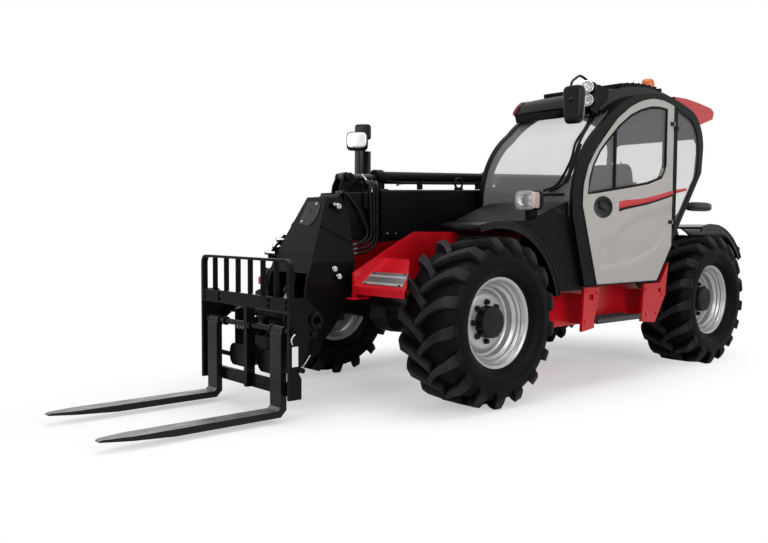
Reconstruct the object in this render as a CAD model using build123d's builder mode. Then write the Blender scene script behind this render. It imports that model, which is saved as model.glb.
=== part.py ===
from build123d import *
from math import cos, hypot, radians, sin
import os

# Telehandler with a side cab, a two-section boom and pallet forks. Millimetres, +X forward, +Y left,
# +Z up, origin on the ground under the middle of the machine. Side profiles are drawn as (distance
# ahead of the front axle, height), so a point such as (710, 966) can be read off a side view.

# Driving dimensions
FRONT_AXLE_X = 560
WHEELBASE = 3070
TRACK = 1870
TYRE_RADIUS = 620
TYRE_WIDTH = 520
RIM_RADIUS = 330
KINGPIN_INSET = 35
PLATE_OUTER_Y = 360
PLATE_THICKNESS = 20
BOOM_SLOPE = 2.0
BOOM_WIDTH = 330
CAB_LEFT = 1170
CAB_RIGHT = BOOM_WIDTH / 2 + 35
BOOM_HEIGHT = 400
BOOM_WALL = 10
BOOM_SLIDE_GAP = 7
BOOM_MOUTH = (290, 1386)
BOOM_PIVOT = (170 - WHEELBASE, 1650)
BOOM_TAIL = 148
LIFT_BASE = (470 - WHEELBASE, 650)
LIFT_EYE = (-1300, 1090)
TILT_TOP = (700, 1450)
TILT_ARM = 220
TILT_ARM_ANGLE = 64
COUPLER_PIVOT = (1020, 450)
CARRIAGE_FACE_X = 1428
CARRIAGE_HALF_WIDTH = 585
FORK_LENGTH = 1200
FORK_SPACING = 844
MOVING_GAP = 6
PIN_GAP = 0.5
SEAT_GAP = 0.3
GLASS = 6

REAR_AXLE_X = -WHEELBASE
WHEEL_Y = TRACK / 2
KINGPIN_Y = WHEEL_Y - KINGPIN_INSET
AXLE_Z = TYRE_RADIUS
PLATE_INNER_Y = PLATE_OUTER_Y - PLATE_THICKNESS
TILT_EYE = (
    COUPLER_PIVOT[0] + TILT_ARM * cos(radians(TILT_ARM_ANGLE)),
    COUPLER_PIVOT[1] + TILT_ARM * sin(radians(TILT_ARM_ANGLE)),
)

# name of wheel, its axle's place ahead of the front axle, and its side (1 left, -1 right)
WHEELS = (
    ("front_left", 0, 1),
    ("front_right", 0, -1),
    ("rear_left", REAR_AXLE_X, 1),
    ("rear_right", REAR_AXLE_X, -1),
)

os.makedirs("parts", exist_ok=True)


def side(y):
    """Upright lengthwise plane at y, facing right: its sketches are in (ahead of the front axle, height)."""
    return Plane(origin=(FRONT_AXLE_X, y, 0), x_dir=(1, 0, 0), z_dir=(0, -1, 0))


def front(x):
    """Upright cross plane x ahead of the front axle, facing forward: its sketches are in (left, height)."""
    return Plane(origin=(FRONT_AXLE_X + x, 0, 0), x_dir=(0, 1, 0), z_dir=(1, 0, 0))


def level(z):
    """Level plane at height z: its sketches are in (ahead of the front axle, left)."""
    return Plane(origin=(FRONT_AXLE_X, 0, z), x_dir=(1, 0, 0), z_dir=(0, 0, 1))


def boom_point(along, up):
    """A point of the lowered boom, from its mouth's centre, as (ahead of the front axle, height)."""
    slope = radians(BOOM_SLOPE)
    x = BOOM_MOUTH[0] + along * cos(slope) + up * sin(slope)
    z = BOOM_MOUTH[1] - along * sin(slope) + up * cos(slope)
    return (x, z)


def boom_side(y):
    """Lengthwise plane at y that slopes with the boom: sketches in (ahead of its mouth, above its centre)."""
    slope = radians(BOOM_SLOPE)
    return Plane(
        origin=(FRONT_AXLE_X + BOOM_MOUTH[0], y, BOOM_MOUTH[1]),
        x_dir=(cos(slope), 0, -sin(slope)),
        z_dir=(0, -1, 0),
    )


def boom_section(along):
    """Plane square to the boom, along ahead of its mouth: its sketches are in (left, above the centre)."""
    slope = radians(BOOM_SLOPE)
    x, z = boom_point(along, 0)
    return Plane(
        origin=(FRONT_AXLE_X + x, 0, z), x_dir=(0, 1, 0), z_dir=(cos(slope), 0, -sin(slope))
    )


def rod_plane(start, end):
    """Plane square to the line between two side-view points, at the first, with local y across the line."""
    length = hypot(end[0] - start[0], end[1] - start[1])
    along = ((end[0] - start[0]) / length, (end[1] - start[1]) / length)
    return Plane(
        origin=(FRONT_AXLE_X + start[0], 0, start[1]), x_dir=(0, 1, 0), z_dir=(along[0], 0, along[1])
    )


def outline(points, mode=Mode.ADD):
    """Closed straight-sided face through points, in the current sketch."""
    Polygon(*points, align=None, mode=mode)


def box_between(x_range, y_range, z_range, mode=Mode.ADD):
    """Box between two limits on each axis, x ahead of the front axle, in the current part."""
    middle = (FRONT_AXLE_X + sum(x_range) / 2, sum(y_range) / 2, sum(z_range) / 2)
    with Locations(middle):
        Box(x_range[1] - x_range[0], y_range[1] - y_range[0], z_range[1] - z_range[0], mode=mode)


def save(part, name):
    part.label = name
    export_step(part, f"parts/{name}.step")


# Chassis: two long side plates, tied by cross members, that rise behind the cab to carry the boom's pivot
PLATE_NOSE_X = 710
CHASSIS_REAR_X = REAR_AXLE_X - 470
CHASSIS_SIDE = (
    (PLATE_NOSE_X, 790), (PLATE_NOSE_X, 966), (260, 1192), (100, 1264), (-560, 1262), (-760, 810),
    (-2070, 810), (REAR_AXLE_X + 240, 1770), (REAR_AXLE_X + 90, 1770), (REAR_AXLE_X - 70, 1560),
    (REAR_AXLE_X - 370, 1180), (CHASSIS_REAR_X, 1100), (CHASSIS_REAR_X, 800), (REAR_AXLE_X - 330, 720),
    (REAR_AXLE_X - 250, 790), (REAR_AXLE_X + 230, 790), (REAR_AXLE_X + 370, 590), (-2300, 500),
    (-750, 500), (-450, 700), (-300, 790),
)
PIVOT_PIN_RADIUS = 45
PIVOT_BOSS_RADIUS = 105
PIVOT_BOSS_DEPTH = 60
LIFT_PIN_RADIUS = 35
# ahead of the front axle, height, length and depth of each cross member: the front one, then the rear one
CROSS_MEMBERS = (
    (360, 880, 160, 120),
    (CHASSIS_REAR_X + 80, 960, 120, 240),
)
BELLY_Z = (500, 512)
BELLY_X = (-1900, -750)

with BuildPart() as chassis_frame:
    for sign in (1, -1):
        with BuildSketch(side(sign * (PLATE_OUTER_Y + PLATE_INNER_Y) / 2)):
            outline(CHASSIS_SIDE)
        extrude(amount=PLATE_THICKNESS / 2, both=True)
    for x, z, length, depth in CROSS_MEMBERS:
        with BuildSketch(side(0)):
            with Locations((x, z)):
                Rectangle(length, depth)
        extrude(amount=PLATE_INNER_Y, both=True)
    with BuildSketch(level(BELLY_Z[0])):
        with Locations((sum(BELLY_X) / 2, 0)):
            Rectangle(BELLY_X[1] - BELLY_X[0], 2 * PLATE_INNER_Y)
    extrude(amount=BELLY_Z[1] - BELLY_Z[0])
    for centre, radius in ((BOOM_PIVOT, PIVOT_PIN_RADIUS), (LIFT_BASE, LIFT_PIN_RADIUS)):
        with BuildSketch(side(0)):
            with Locations(centre):
                Circle(radius)
        extrude(amount=PLATE_INNER_Y, both=True)
    for sign in (1, -1):
        with BuildSketch(side(sign * (PLATE_INNER_Y - PIVOT_BOSS_DEPTH / 2))):
            with Locations(BOOM_PIVOT):
                Circle(PIVOT_BOSS_RADIUS)
        extrude(amount=PIVOT_BOSS_DEPTH / 2, both=True)
save(chassis_frame.part, "chassis_frame")

# Shelves: one sloping plate a side, welded to the chassis plate ahead of the wheel, with its front edge
# folded down and its outer edge cut back so that the steered tyre clears it
SHELF_SLOPE = 32.3
SHELF_FOLD = (PLATE_NOSE_X + 12, 870)
SHELF_THICKNESS = 8
SHELF_LIP = 55
# from the chassis plate, ahead of the front axle and outward from the middle
SHELF_PLAN = ((0, 0), (0, 547), (-22, 545), (-112, 460), (-282, 300), (-312, 260), (-312, 0))
SHELF_FOOT = ((620, 780), (70, 12))

with BuildPart() as front_shelves:
    for sign in (1, -1):
        wall_y = PLATE_OUTER_Y + SEAT_GAP
        top = Plane(
            origin=(FRONT_AXLE_X + SHELF_FOLD[0], sign * wall_y, SHELF_FOLD[1]),
            x_dir=(cos(radians(SHELF_SLOPE)), 0, -sin(radians(SHELF_SLOPE))),
            z_dir=(sin(radians(SHELF_SLOPE)), 0, cos(radians(SHELF_SLOPE))),
        )
        with BuildSketch(top):
            outline([(x / cos(radians(SHELF_SLOPE)), sign * y) for x, y in SHELF_PLAN])
        extrude(amount=-SHELF_THICKNESS)
        fold_y = (wall_y, wall_y + SHELF_PLAN[1][1])
        box_between(
            (SHELF_FOLD[0] - SHELF_THICKNESS, SHELF_FOLD[0]),
            sorted(sign * y for y in fold_y),
            (SHELF_FOLD[1] - SHELF_LIP, SHELF_FOLD[1]),
        )
        box_between(
            (SHELF_FOOT[0][0], SHELF_FOOT[0][1]),
            sorted((sign * wall_y, sign * (wall_y + SHELF_FOOT[1][0]))),
            (790 - SHELF_FOOT[1][1], 790),
        )
        box_between(
            (SHELF_FOLD[0] - SHELF_THICKNESS, SHELF_FOLD[0]),
            sorted((sign * wall_y, sign * (wall_y + 40))),
            (790 - SHELF_FOOT[1][1], SHELF_FOLD[1]),
        )
save(front_shelves.part, "front_shelves")

# Under the cab: a red tank beside the chassis, with a hanging plate at each end of the step
TANK_Y = CAB_LEFT - 220
STEP_PLATE_Y = (CAB_LEFT - 45, CAB_LEFT - 20)
STEP_FRONT_PLATE = ((-965, 480), (-990, 825), (-1200, 825), (-1180, 700), (-1130, 560), (-1130, 500))
STEP_REAR_PLATE = ((-1860, 825), (-1830, 500), (-2045, 480), (-2205, 712), (-2245, 1000), (-2115, 825))
TANK_TOP = 810
TANK_SIDE = (
    (-712, 505), (-712, 790), (-1000, 790), (-1000, TANK_TOP), (-2040, TANK_TOP), (-2130, 740), (-2130, 600),
    (-2030, 505),
)
CAB_FLOOR_Z = 845
CAB_MOUNT_RADIUS = 45
# ahead of the front axle, left of the middle
CAB_MOUNTS = ((-1120, 440), (-1120, CAB_LEFT - 280), (-1930, 440), (-1930, CAB_LEFT - 280))

with BuildPart() as cab_support:
    with BuildSketch(side(TANK_Y)):
        outline(TANK_SIDE)
    extrude(amount=TANK_Y - PLATE_OUTER_Y)
    for plate in (STEP_FRONT_PLATE, STEP_REAR_PLATE):
        with BuildSketch(side(STEP_PLATE_Y[1])):
            outline(plate)
        extrude(amount=STEP_PLATE_Y[1] - STEP_PLATE_Y[0])
    for x in (-1080, -1960):
        with BuildSketch(side(STEP_PLATE_Y[0])):
            with Locations((x, 650)):
                Rectangle(40, 240)
        extrude(amount=STEP_PLATE_Y[0] - TANK_Y)
    # rubber-bushed feet that the cab's floor stands on
    with BuildSketch(level(TANK_TOP)):
        with Locations(*CAB_MOUNTS):
            Circle(CAB_MOUNT_RADIUS)
    extrude(amount=CAB_FLOOR_Z - TANK_TOP)
    with BuildSketch(side(STEP_PLATE_Y[1])):
        with Locations((-1085, 750)):
            RectangleRounded(60, 44, 8)
        with Locations((-2110, 760)):
            Circle(22)
    extrude(amount=STEP_PLATE_Y[1] - STEP_PLATE_Y[0], mode=Mode.SUBTRACT)
save(cab_support.part, "cab_support")

with BuildPart() as access_step:
    with BuildSketch(side(STEP_PLATE_Y[0] + 20)):
        outline(((-1190, 525), (-1190, 560), (-1820, 560), (-1820, 525)))
    extrude(amount=STEP_PLATE_Y[0] + 20 - TANK_Y)
    with BuildSketch(level(560)):
        with Locations((-1505, (STEP_PLATE_Y[0] + 20 + TANK_Y) / 2)):
            with GridLocations(60, 60, 9, 2):
                Rectangle(36, 34)
    extrude(amount=-60, mode=Mode.SUBTRACT)
save(access_step.part, "access_step")

# Rear: counterweight between the wheels, with a pin hitch below it
# behind the chassis plates' ends, height
WEIGHT_SIDE = ((0, 640), (0, 1180), (-60, 1290), (-150, 1290), (-200, 1200), (-200, 700), (-140, 640))
WEIGHT_HALF_WIDTH = 430
HITCH_X = CHASSIS_REAR_X - 148
HITCH_Z = (540, 640)
HITCH_BORE = 16

with BuildPart() as counterweight:
    with BuildSketch(side(0)):
        outline([(CHASSIS_REAR_X + x, z) for x, z in WEIGHT_SIDE])
    extrude(amount=WEIGHT_HALF_WIDTH, both=True)
save(counterweight.part, "counterweight")

with BuildPart() as tow_hitch:
    with BuildSketch(level(HITCH_Z[0])):
        with Locations((HITCH_X, 0)):
            RectangleRounded(120, 150, 25)
    extrude(amount=HITCH_Z[1] - HITCH_Z[0])
    with BuildSketch(level(HITCH_Z[0] + 30)):
        with Locations((HITCH_X - 30, 0)):
            Rectangle(90, 160)
    extrude(amount=40, mode=Mode.SUBTRACT)
    with BuildSketch(level(HITCH_Z[0])):
        with Locations((HITCH_X - 20, 0)):
            Circle(HITCH_BORE)
    extrude(amount=HITCH_Z[1] - HITCH_Z[0], mode=Mode.SUBTRACT)
save(tow_hitch.part, "tow_hitch")

# Axles: a cast housing swollen round the differential, with a yoke at each end that holds the kingpins
# distance from the middle of the machine and radius of the housing there
YOKE_ROOT_Y = KINGPIN_Y - 180
AXLE_PROFILE = ((0, 175), (95, 170), (230, 95), (YOKE_ROOT_Y + 20, 72), (YOKE_ROOT_Y + 32, 0))
YOKE_HALF_WIDTH = 50
YOKE_ARM = (118, 148)
KNUCKLE_HALF_HEIGHT = 112
KINGPIN_RADIUS = 24
SADDLE_Y = (PLATE_INNER_Y, PLATE_OUTER_Y)

for axle_name, axle_x, nose in (("front_axle", 0, -1), ("rear_axle", REAR_AXLE_X, 1)):
    with BuildPart() as axle:
        with BuildSketch(front(axle_x)):
            outline(
                [(y, AXLE_Z + r) for y, r in AXLE_PROFILE]
                + [(-y, AXLE_Z + r) for y, r in reversed(AXLE_PROFILE[1:])]
            )
        revolve(axis=Axis((FRONT_AXLE_X + axle_x, 0, AXLE_Z), (0, 1, 0)))
        with BuildSketch(front(axle_x)):
            with Locations((0, AXLE_Z)):
                Circle(85)
        extrude(amount=nose * 330)
        for sign in (1, -1):
            with BuildSketch(level(AXLE_Z - YOKE_ARM[1])):
                with Locations((axle_x, sign * KINGPIN_Y)):
                    Circle(YOKE_HALF_WIDTH)
                with Locations((axle_x, sign * (KINGPIN_Y + YOKE_ROOT_Y) / 2)):
                    Rectangle(2 * YOKE_HALF_WIDTH, KINGPIN_Y - YOKE_ROOT_Y)
            extrude(amount=2 * YOKE_ARM[1])
            with BuildSketch(level(AXLE_Z - YOKE_ARM[0])):
                with Locations((axle_x, sign * (KINGPIN_Y + 75))):
                    Rectangle(2 * YOKE_HALF_WIDTH + 10, 370)
            extrude(amount=2 * YOKE_ARM[0], mode=Mode.SUBTRACT)
            with BuildSketch(level(AXLE_Z - YOKE_ARM[1])):
                with Locations((axle_x, sign * KINGPIN_Y)):
                    Circle(KINGPIN_RADIUS + PIN_GAP)
            extrude(amount=2 * YOKE_ARM[1], mode=Mode.SUBTRACT)
            with BuildSketch(level(AXLE_Z)):
                with Locations((axle_x, sign * (SADDLE_Y[0] + SADDLE_Y[1]) / 2)):
                    Rectangle(150, 70)
            extrude(amount=790 - AXLE_Z)
    save(axle.part, axle_name)

# Wheels: a hollow tyre on a drop-centre rim, whose disc carries the planetary hub
# outboard offset and radius, along the outside of the tyre from its inner bead
RIM_HALF_WIDTH = 190
RIM_WALL = 9
BEAD_RADIUS = 305
WELL_RADIUS = 262
DISC_OFFSET = 55
HUB_RADIUS = 108
HUB_REACH = DISC_OFFSET + 90
KNUCKLE_RADIUS = 60
SPINDLE_FACE = DISC_OFFSET - 20
SIDEWALL_RADIUS = (RIM_RADIUS + TYRE_RADIUS) / 2 - 5
SHOULDER_RADIUS = TYRE_RADIUS - 32


def wheel_plane(x, sign):
    """Cross plane through a wheel's centre: its sketches are in (outboard, up)."""
    return Plane(
        origin=(FRONT_AXLE_X + x, sign * WHEEL_Y, AXLE_Z), x_dir=(0, sign, 0), z_dir=(sign, 0, 0)
    )


for wheel_name, wheel_x, sign in WHEELS:
    section = wheel_plane(wheel_x, sign)
    spin = Axis(section.origin, section.x_dir)
    bulge = TYRE_WIDTH / 2
    with BuildPart() as tyre:
        with BuildSketch(section):
            with BuildLine():
                Polyline(
                    (bulge - 28, SHOULDER_RADIUS), (bulge - 70, TYRE_RADIUS - 6), (0, TYRE_RADIUS),
                    (70 - bulge, TYRE_RADIUS - 6), (28 - bulge, SHOULDER_RADIUS),
                )
                ThreePointArc(
                    (28 - bulge, SHOULDER_RADIUS), (-bulge, SIDEWALL_RADIUS),
                    (14 - RIM_HALF_WIDTH, RIM_RADIUS + 8),
                )
                Polyline(
                    (14 - RIM_HALF_WIDTH, RIM_RADIUS + 8), (10 - RIM_HALF_WIDTH, BEAD_RADIUS),
                    (35 - RIM_HALF_WIDTH, BEAD_RADIUS), (45 - RIM_HALF_WIDTH, RIM_RADIUS + 10),
                    (30 - bulge, SIDEWALL_RADIUS), (70 - bulge, TYRE_RADIUS - 75),
                    (bulge - 70, TYRE_RADIUS - 75), (bulge - 30, SIDEWALL_RADIUS),
                    (RIM_HALF_WIDTH - 45, RIM_RADIUS + 10),
                    (RIM_HALF_WIDTH - 35, BEAD_RADIUS), (RIM_HALF_WIDTH - 10, BEAD_RADIUS),
                    (RIM_HALF_WIDTH - 14, RIM_RADIUS + 8),
                )
                ThreePointArc(
                    (RIM_HALF_WIDTH - 14, RIM_RADIUS + 8), (bulge, SIDEWALL_RADIUS),
                    (bulge - 28, SHOULDER_RADIUS),
                )
            make_face()
        revolve(axis=spin)
    save(tyre.part, f"tyre_{wheel_name}")

    bead_seat = BEAD_RADIUS - SEAT_GAP
    edge = RIM_HALF_WIDTH
    inner_lip = RIM_HALF_WIDTH - RIM_WALL
    face = SPINDLE_FACE + SEAT_GAP
    with BuildPart() as rim:
        with BuildSketch(section):
            outline((
                (-edge, RIM_RADIUS), (-inner_lip, RIM_RADIUS), (-inner_lip, bead_seat),
                (50 - edge, bead_seat), (65 - edge, WELL_RADIUS), (DISC_OFFSET + 35, WELL_RADIUS),
                (DISC_OFFSET + 65, 290), (DISC_OFFSET + 90, bead_seat), (inner_lip, bead_seat),
                (inner_lip, RIM_RADIUS), (edge, RIM_RADIUS), (edge, bead_seat - RIM_WALL),
                (DISC_OFFSET + 94, bead_seat - RIM_WALL), (DISC_OFFSET + 70, 281),
                (DISC_OFFSET + 40, WELL_RADIUS - RIM_WALL),
                (60 - edge, WELL_RADIUS - RIM_WALL), (45 - edge, bead_seat - RIM_WALL),
                (-edge, bead_seat - RIM_WALL),
            ))
            outline((
                (face, 0), (face, 190), (DISC_OFFSET - 36, 230), (DISC_OFFSET - 36, WELL_RADIUS - 2),
                (DISC_OFFSET - 22, WELL_RADIUS - 2), (DISC_OFFSET - 22, 234), (DISC_OFFSET, 194),
                (DISC_OFFSET, HUB_RADIUS + 50),
                (DISC_OFFSET + 12, HUB_RADIUS + 45), (DISC_OFFSET + 12, HUB_RADIUS),
                (HUB_REACH - 12, HUB_RADIUS), (HUB_REACH, HUB_RADIUS - 14), (HUB_REACH, 0),
            ))
        revolve(axis=spin)
    save(rim.part, f"rim_{wheel_name}")

    # Knuckle: an upright swivel housing on its two kingpins, with the spindle's flange outboard of it
    kingpin = (wheel_x, sign * KINGPIN_Y)
    with BuildPart() as knuckle:
        with BuildSketch(level(AXLE_Z - KNUCKLE_HALF_HEIGHT)):
            with Locations(kingpin):
                Circle(KNUCKLE_RADIUS)
        extrude(amount=2 * KNUCKLE_HALF_HEIGHT)
        with BuildSketch(level(AXLE_Z - YOKE_ARM[1])):
            with Locations(kingpin):
                Circle(KINGPIN_RADIUS)
        extrude(amount=2 * YOKE_ARM[1])
        spindle = Plane(
            origin=(FRONT_AXLE_X + wheel_x, sign * KINGPIN_Y, AXLE_Z), x_dir=(1, 0, 0), z_dir=(0, sign, 0)
        )
        with BuildSketch(spindle):
            Circle(100)
        extrude(amount=WHEEL_Y + SPINDLE_FACE - KINGPIN_Y)
    save(knuckle.part, f"knuckle_{wheel_name}")

# Fenders: a curved guard over the inner part of each tyre, with a flat nose
FENDER_RADIUS = TYRE_RADIUS + 102
FENDER_TOP = AXLE_Z + FENDER_RADIUS
FENDER_WALL = 20
FENDER_Y = (WHEEL_Y - 235, WHEEL_Y + 195)
STAY_Z = (FENDER_TOP - 52, FENDER_TOP - 6)
# a fender's nose, ahead of its axle and above the fender's top
FENDER_NOSE = ((60, 0), (200, -24))
# how far the rolled edge hangs below a fender's outer side, and its thickness
FENDER_LIP = (48, 12)


def fender_outline(tail_angle, wall):
    """Fender's side profile in the current sketch: an arc behind the wheel's top, then a flat nose ahead."""
    inner = FENDER_RADIUS - wall
    tail, back, top = (
        (FENDER_RADIUS * cos(radians(a)), AXLE_Z + FENDER_RADIUS * sin(radians(a)))
        for a in (tail_angle, 125, 98)
    )
    tail_in, back_in, top_in = (
        (inner * cos(radians(a)), AXLE_Z + inner * sin(radians(a))) for a in (tail_angle, 125, 98)
    )
    with BuildLine() as edges:
        ThreePointArc(tail, back, top)
        Polyline(top, *((x, FENDER_TOP + z) for x, z in FENDER_NOSE))
        Polyline(
            (FENDER_NOSE[1][0], FENDER_TOP + FENDER_NOSE[1][1]),
            *((x, FENDER_TOP + z - wall) for x, z in reversed(FENDER_NOSE)), top_in
        )
        ThreePointArc(top_in, back_in, tail_in)
        Line(tail_in, tail)
    make_face(edges.line.edges())


with BuildPart() as fenders:
    # ahead of the front axle, angle of the tail round the wheel
    for axle_x, tail_angle in ((0, 167), (REAR_AXLE_X, 147)):
        for sign in (1, -1):
            middle = side(sign * (FENDER_Y[0] + FENDER_Y[1]) / 2)
            with BuildSketch(middle.move(Location((axle_x, 0, 0)))):
                fender_outline(tail_angle, FENDER_WALL)
            extrude(amount=(FENDER_Y[1] - FENDER_Y[0]) / 2, both=True)
            with BuildSketch(side(sign * FENDER_Y[1]).move(Location((axle_x, 0, 0)))):
                fender_outline(tail_angle, FENDER_LIP[0])
            extrude(amount=sign * FENDER_LIP[1])
    # a stay from the chassis plate carries each rear fender above its tyre
    for sign in (1, -1):
        with BuildSketch(side(sign * PLATE_OUTER_Y)):
            with Locations((REAR_AXLE_X, sum(STAY_Z) / 2)):
                Rectangle(90, STAY_Z[1] - STAY_Z[0])
        extrude(amount=-sign * (FENDER_Y[0] + 20 - PLATE_OUTER_Y))
save(fenders.part, "fenders")

# Cab: one bent outline from floor to roof, hollow, with the door's opening and every window cut through
CAB_WALL = 45
DOOR_THICKNESS = CAB_WALL - MOVING_GAP
DOOR_REAR_X = -2250
WINDSCREEN_Z = (1300, 2265)
WINDSCREEN_Y = (CAB_RIGHT + 45, CAB_LEFT - 30)


def cab_outline():
    """The cab's side profile, in the current sketch."""
    with BuildLine() as edges:
        Polyline((-2005, CAB_FLOOR_Z), (-958, CAB_FLOOR_Z), (-790, 1400))
        ThreePointArc((-790, 1400), (-840, 1770), (-1131, 2112))
        ThreePointArc((-1131, 2112), (-1512, 2355), (-1894, 2448))
        ThreePointArc((-1894, 2448), (-2240, 2436), (-2590, 2352))
        ThreePointArc((-2590, 2352), (-2724, 2230), (-2772, 1980))
        Polyline((-2772, 1980), (-2755, 1815), (-2005, CAB_FLOOR_Z))
    make_face(edges.line.edges())


def door_outline():
    """The door's side profile, in the current sketch: its hinged edge is the upright one at the back."""
    with BuildLine() as edges:
        Polyline((-2020, 850), (-1125, 850), (-915, 1480))
        ThreePointArc((-915, 1480), (-985, 1790), (-1210, 2040))
        ThreePointArc((-1210, 2040), (-1560, 2300), (-1896, 2402))
        ThreePointArc((-1896, 2402), (-2075, 2404), (DOOR_REAR_X, 2375))
        Polyline((DOOR_REAR_X, 2375), (DOOR_REAR_X, 1150), (-2020, 850))
    make_face(edges.line.edges())


def door_window():
    """The opening in the door, in the current sketch."""
    with BuildLine() as edges:
        Polyline((-2060, 1740), (-1850, 1685), (-1407, 1624), (-1220, 1600), (-985, 1570))
        ThreePointArc((-985, 1570), (-1050, 1800), (-1245, 2010))
        ThreePointArc((-1245, 2010), (-1560, 2230), (-1880, 2330))
        ThreePointArc((-1880, 2330), (-2010, 2340), (-2130, 2335))
        Polyline((-2130, 2335), (-2130, 1850), (-2060, 1740))
    make_face(edges.line.edges())


def quarter_window():
    """The pane behind the door, in the current sketch."""
    with BuildLine() as edges:
        Polyline((-2300, 1300), (-2665, 1775), (-2694, 1960))
        ThreePointArc((-2694, 1960), (-2676, 2132), (-2560, 2280))
        Polyline((-2560, 2280), (-2300, 2358), (-2300, 1300))
    make_face(edges.line.edges())


def right_window():
    """The pane on the boom's side, in the current sketch."""
    cab_outline()
    offset(amount=-85, kind=Kind.INTERSECTION)
    with Locations((-1800, 900)):
        Rectangle(2400, 900, mode=Mode.SUBTRACT)


REAR_WINDOW_Z = (1400, 2130)
# the door hangs on a vertical axis just outside the cab's skin and behind the door's rear edge
HINGE = (DOOR_REAR_X - MOVING_GAP, CAB_LEFT + 14)
HINGE_RADIUS = 11
HINGE_PIN_RADIUS = 5
HINGE_KNUCKLE = 34
HINGE_Z = (1340, 2200)
with BuildPart() as cab_frame:
    with BuildSketch(side(CAB_LEFT)):
        cab_outline()
    extrude(amount=CAB_LEFT - CAB_RIGHT)
    with BuildSketch(side(CAB_LEFT - CAB_WALL)):
        cab_outline()
        offset(amount=-CAB_WALL, kind=Kind.INTERSECTION)
    extrude(amount=CAB_LEFT - CAB_RIGHT - 2 * CAB_WALL, mode=Mode.SUBTRACT)
    with BuildSketch(side(CAB_LEFT)):
        door_outline()
        offset(amount=MOVING_GAP, kind=Kind.INTERSECTION)
    extrude(amount=CAB_WALL, mode=Mode.SUBTRACT)
    with BuildSketch(side(CAB_LEFT)):
        quarter_window()
    extrude(amount=CAB_WALL, mode=Mode.SUBTRACT)
    with BuildSketch(side(CAB_RIGHT + CAB_WALL)):
        right_window()
    extrude(amount=CAB_WALL, mode=Mode.SUBTRACT)
    with BuildSketch(front(-1500)):
        with Locations((sum(WINDSCREEN_Y) / 2, sum(WINDSCREEN_Z) / 2)):
            RectangleRounded(WINDSCREEN_Y[1] - WINDSCREEN_Y[0], WINDSCREEN_Z[1] - WINDSCREEN_Z[0], 60)
    extrude(amount=800, mode=Mode.SUBTRACT)
    with BuildSketch(front(-2900)):
        with Locations((sum(WINDSCREEN_Y) / 2, sum(REAR_WINDOW_Z) / 2)):
            RectangleRounded(WINDSCREEN_Y[1] - WINDSCREEN_Y[0], REAR_WINDOW_Z[1] - REAR_WINDOW_Z[0], 60)
    extrude(amount=600, mode=Mode.SUBTRACT)
    # fixed halves of the door's lift-off hinges, with their pins
    for z in HINGE_Z:
        with BuildSketch(level(z - HINGE_KNUCKLE)):
            with Locations(HINGE):
                Circle(HINGE_RADIUS)
            with Locations((HINGE[0] - 34, CAB_LEFT + 4)):
                Rectangle(60, 8)
            with Locations((HINGE[0] - 11, CAB_LEFT + 10)):
                Rectangle(14, 14)
        extrude(amount=HINGE_KNUCKLE)
        with BuildSketch(level(z)):
            with Locations(HINGE):
                Circle(HINGE_PIN_RADIUS)
        extrude(amount=HINGE_KNUCKLE)
save(cab_frame.part, "cab_frame")

# Glass: each pane stands in its opening, held by the bead of rubber round its edge
PANE_DEPTH = 12
PANE_WIDTH = WINDSCREEN_Y[1] - WINDSCREEN_Y[0] - 2 * SEAT_GAP
# name, back of its band, length of the band, lowest and highest edge of the opening
BENT_PANES = (
    ("windscreen", -1500, 800, WINDSCREEN_Z),
    ("rear_glass", -2900, 600, REAR_WINDOW_Z),
)
for pane_name, back_x, band, (low_z, high_z) in BENT_PANES:
    with BuildPart() as pane:
        with BuildSketch(side(WINDSCREEN_Y[1] - SEAT_GAP)):
            cab_outline()
            offset(amount=-PANE_DEPTH, kind=Kind.INTERSECTION)
        extrude(amount=PANE_WIDTH)
        with BuildSketch(side(WINDSCREEN_Y[1])):
            cab_outline()
            offset(amount=-PANE_DEPTH - GLASS, kind=Kind.INTERSECTION)
        extrude(amount=PANE_WIDTH + 2 * SEAT_GAP, mode=Mode.SUBTRACT)
        with BuildSketch(front(back_x)):
            with Locations((sum(WINDSCREEN_Y) / 2, (low_z + high_z) / 2)):
                RectangleRounded(PANE_WIDTH, high_z - low_z - 2 * SEAT_GAP, 60 - SEAT_GAP)
        extrude(amount=band, mode=Mode.INTERSECT)
    save(pane.part, pane_name)

with BuildPart() as side_glass:
    with BuildSketch(side(CAB_LEFT - PANE_DEPTH)):
        quarter_window()
        offset(amount=-SEAT_GAP, kind=Kind.INTERSECTION)
    extrude(amount=GLASS)
    with BuildSketch(side(CAB_RIGHT + PANE_DEPTH + GLASS)):
        right_window()
        offset(amount=-SEAT_GAP, kind=Kind.INTERSECTION)
    extrude(amount=GLASS)
save(side_glass.part, "side_glass")

# Door: a pressed panel round one window, with a bar across the sliding pane, glass and a round handle
WINDOW_BAR_X = -1350
WINDOW_BAR_WIDTH = 26
HANDLE = (-1185, 1469)
HANDLE_RADIUS = 90
HANDLE_DISH = 14
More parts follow.
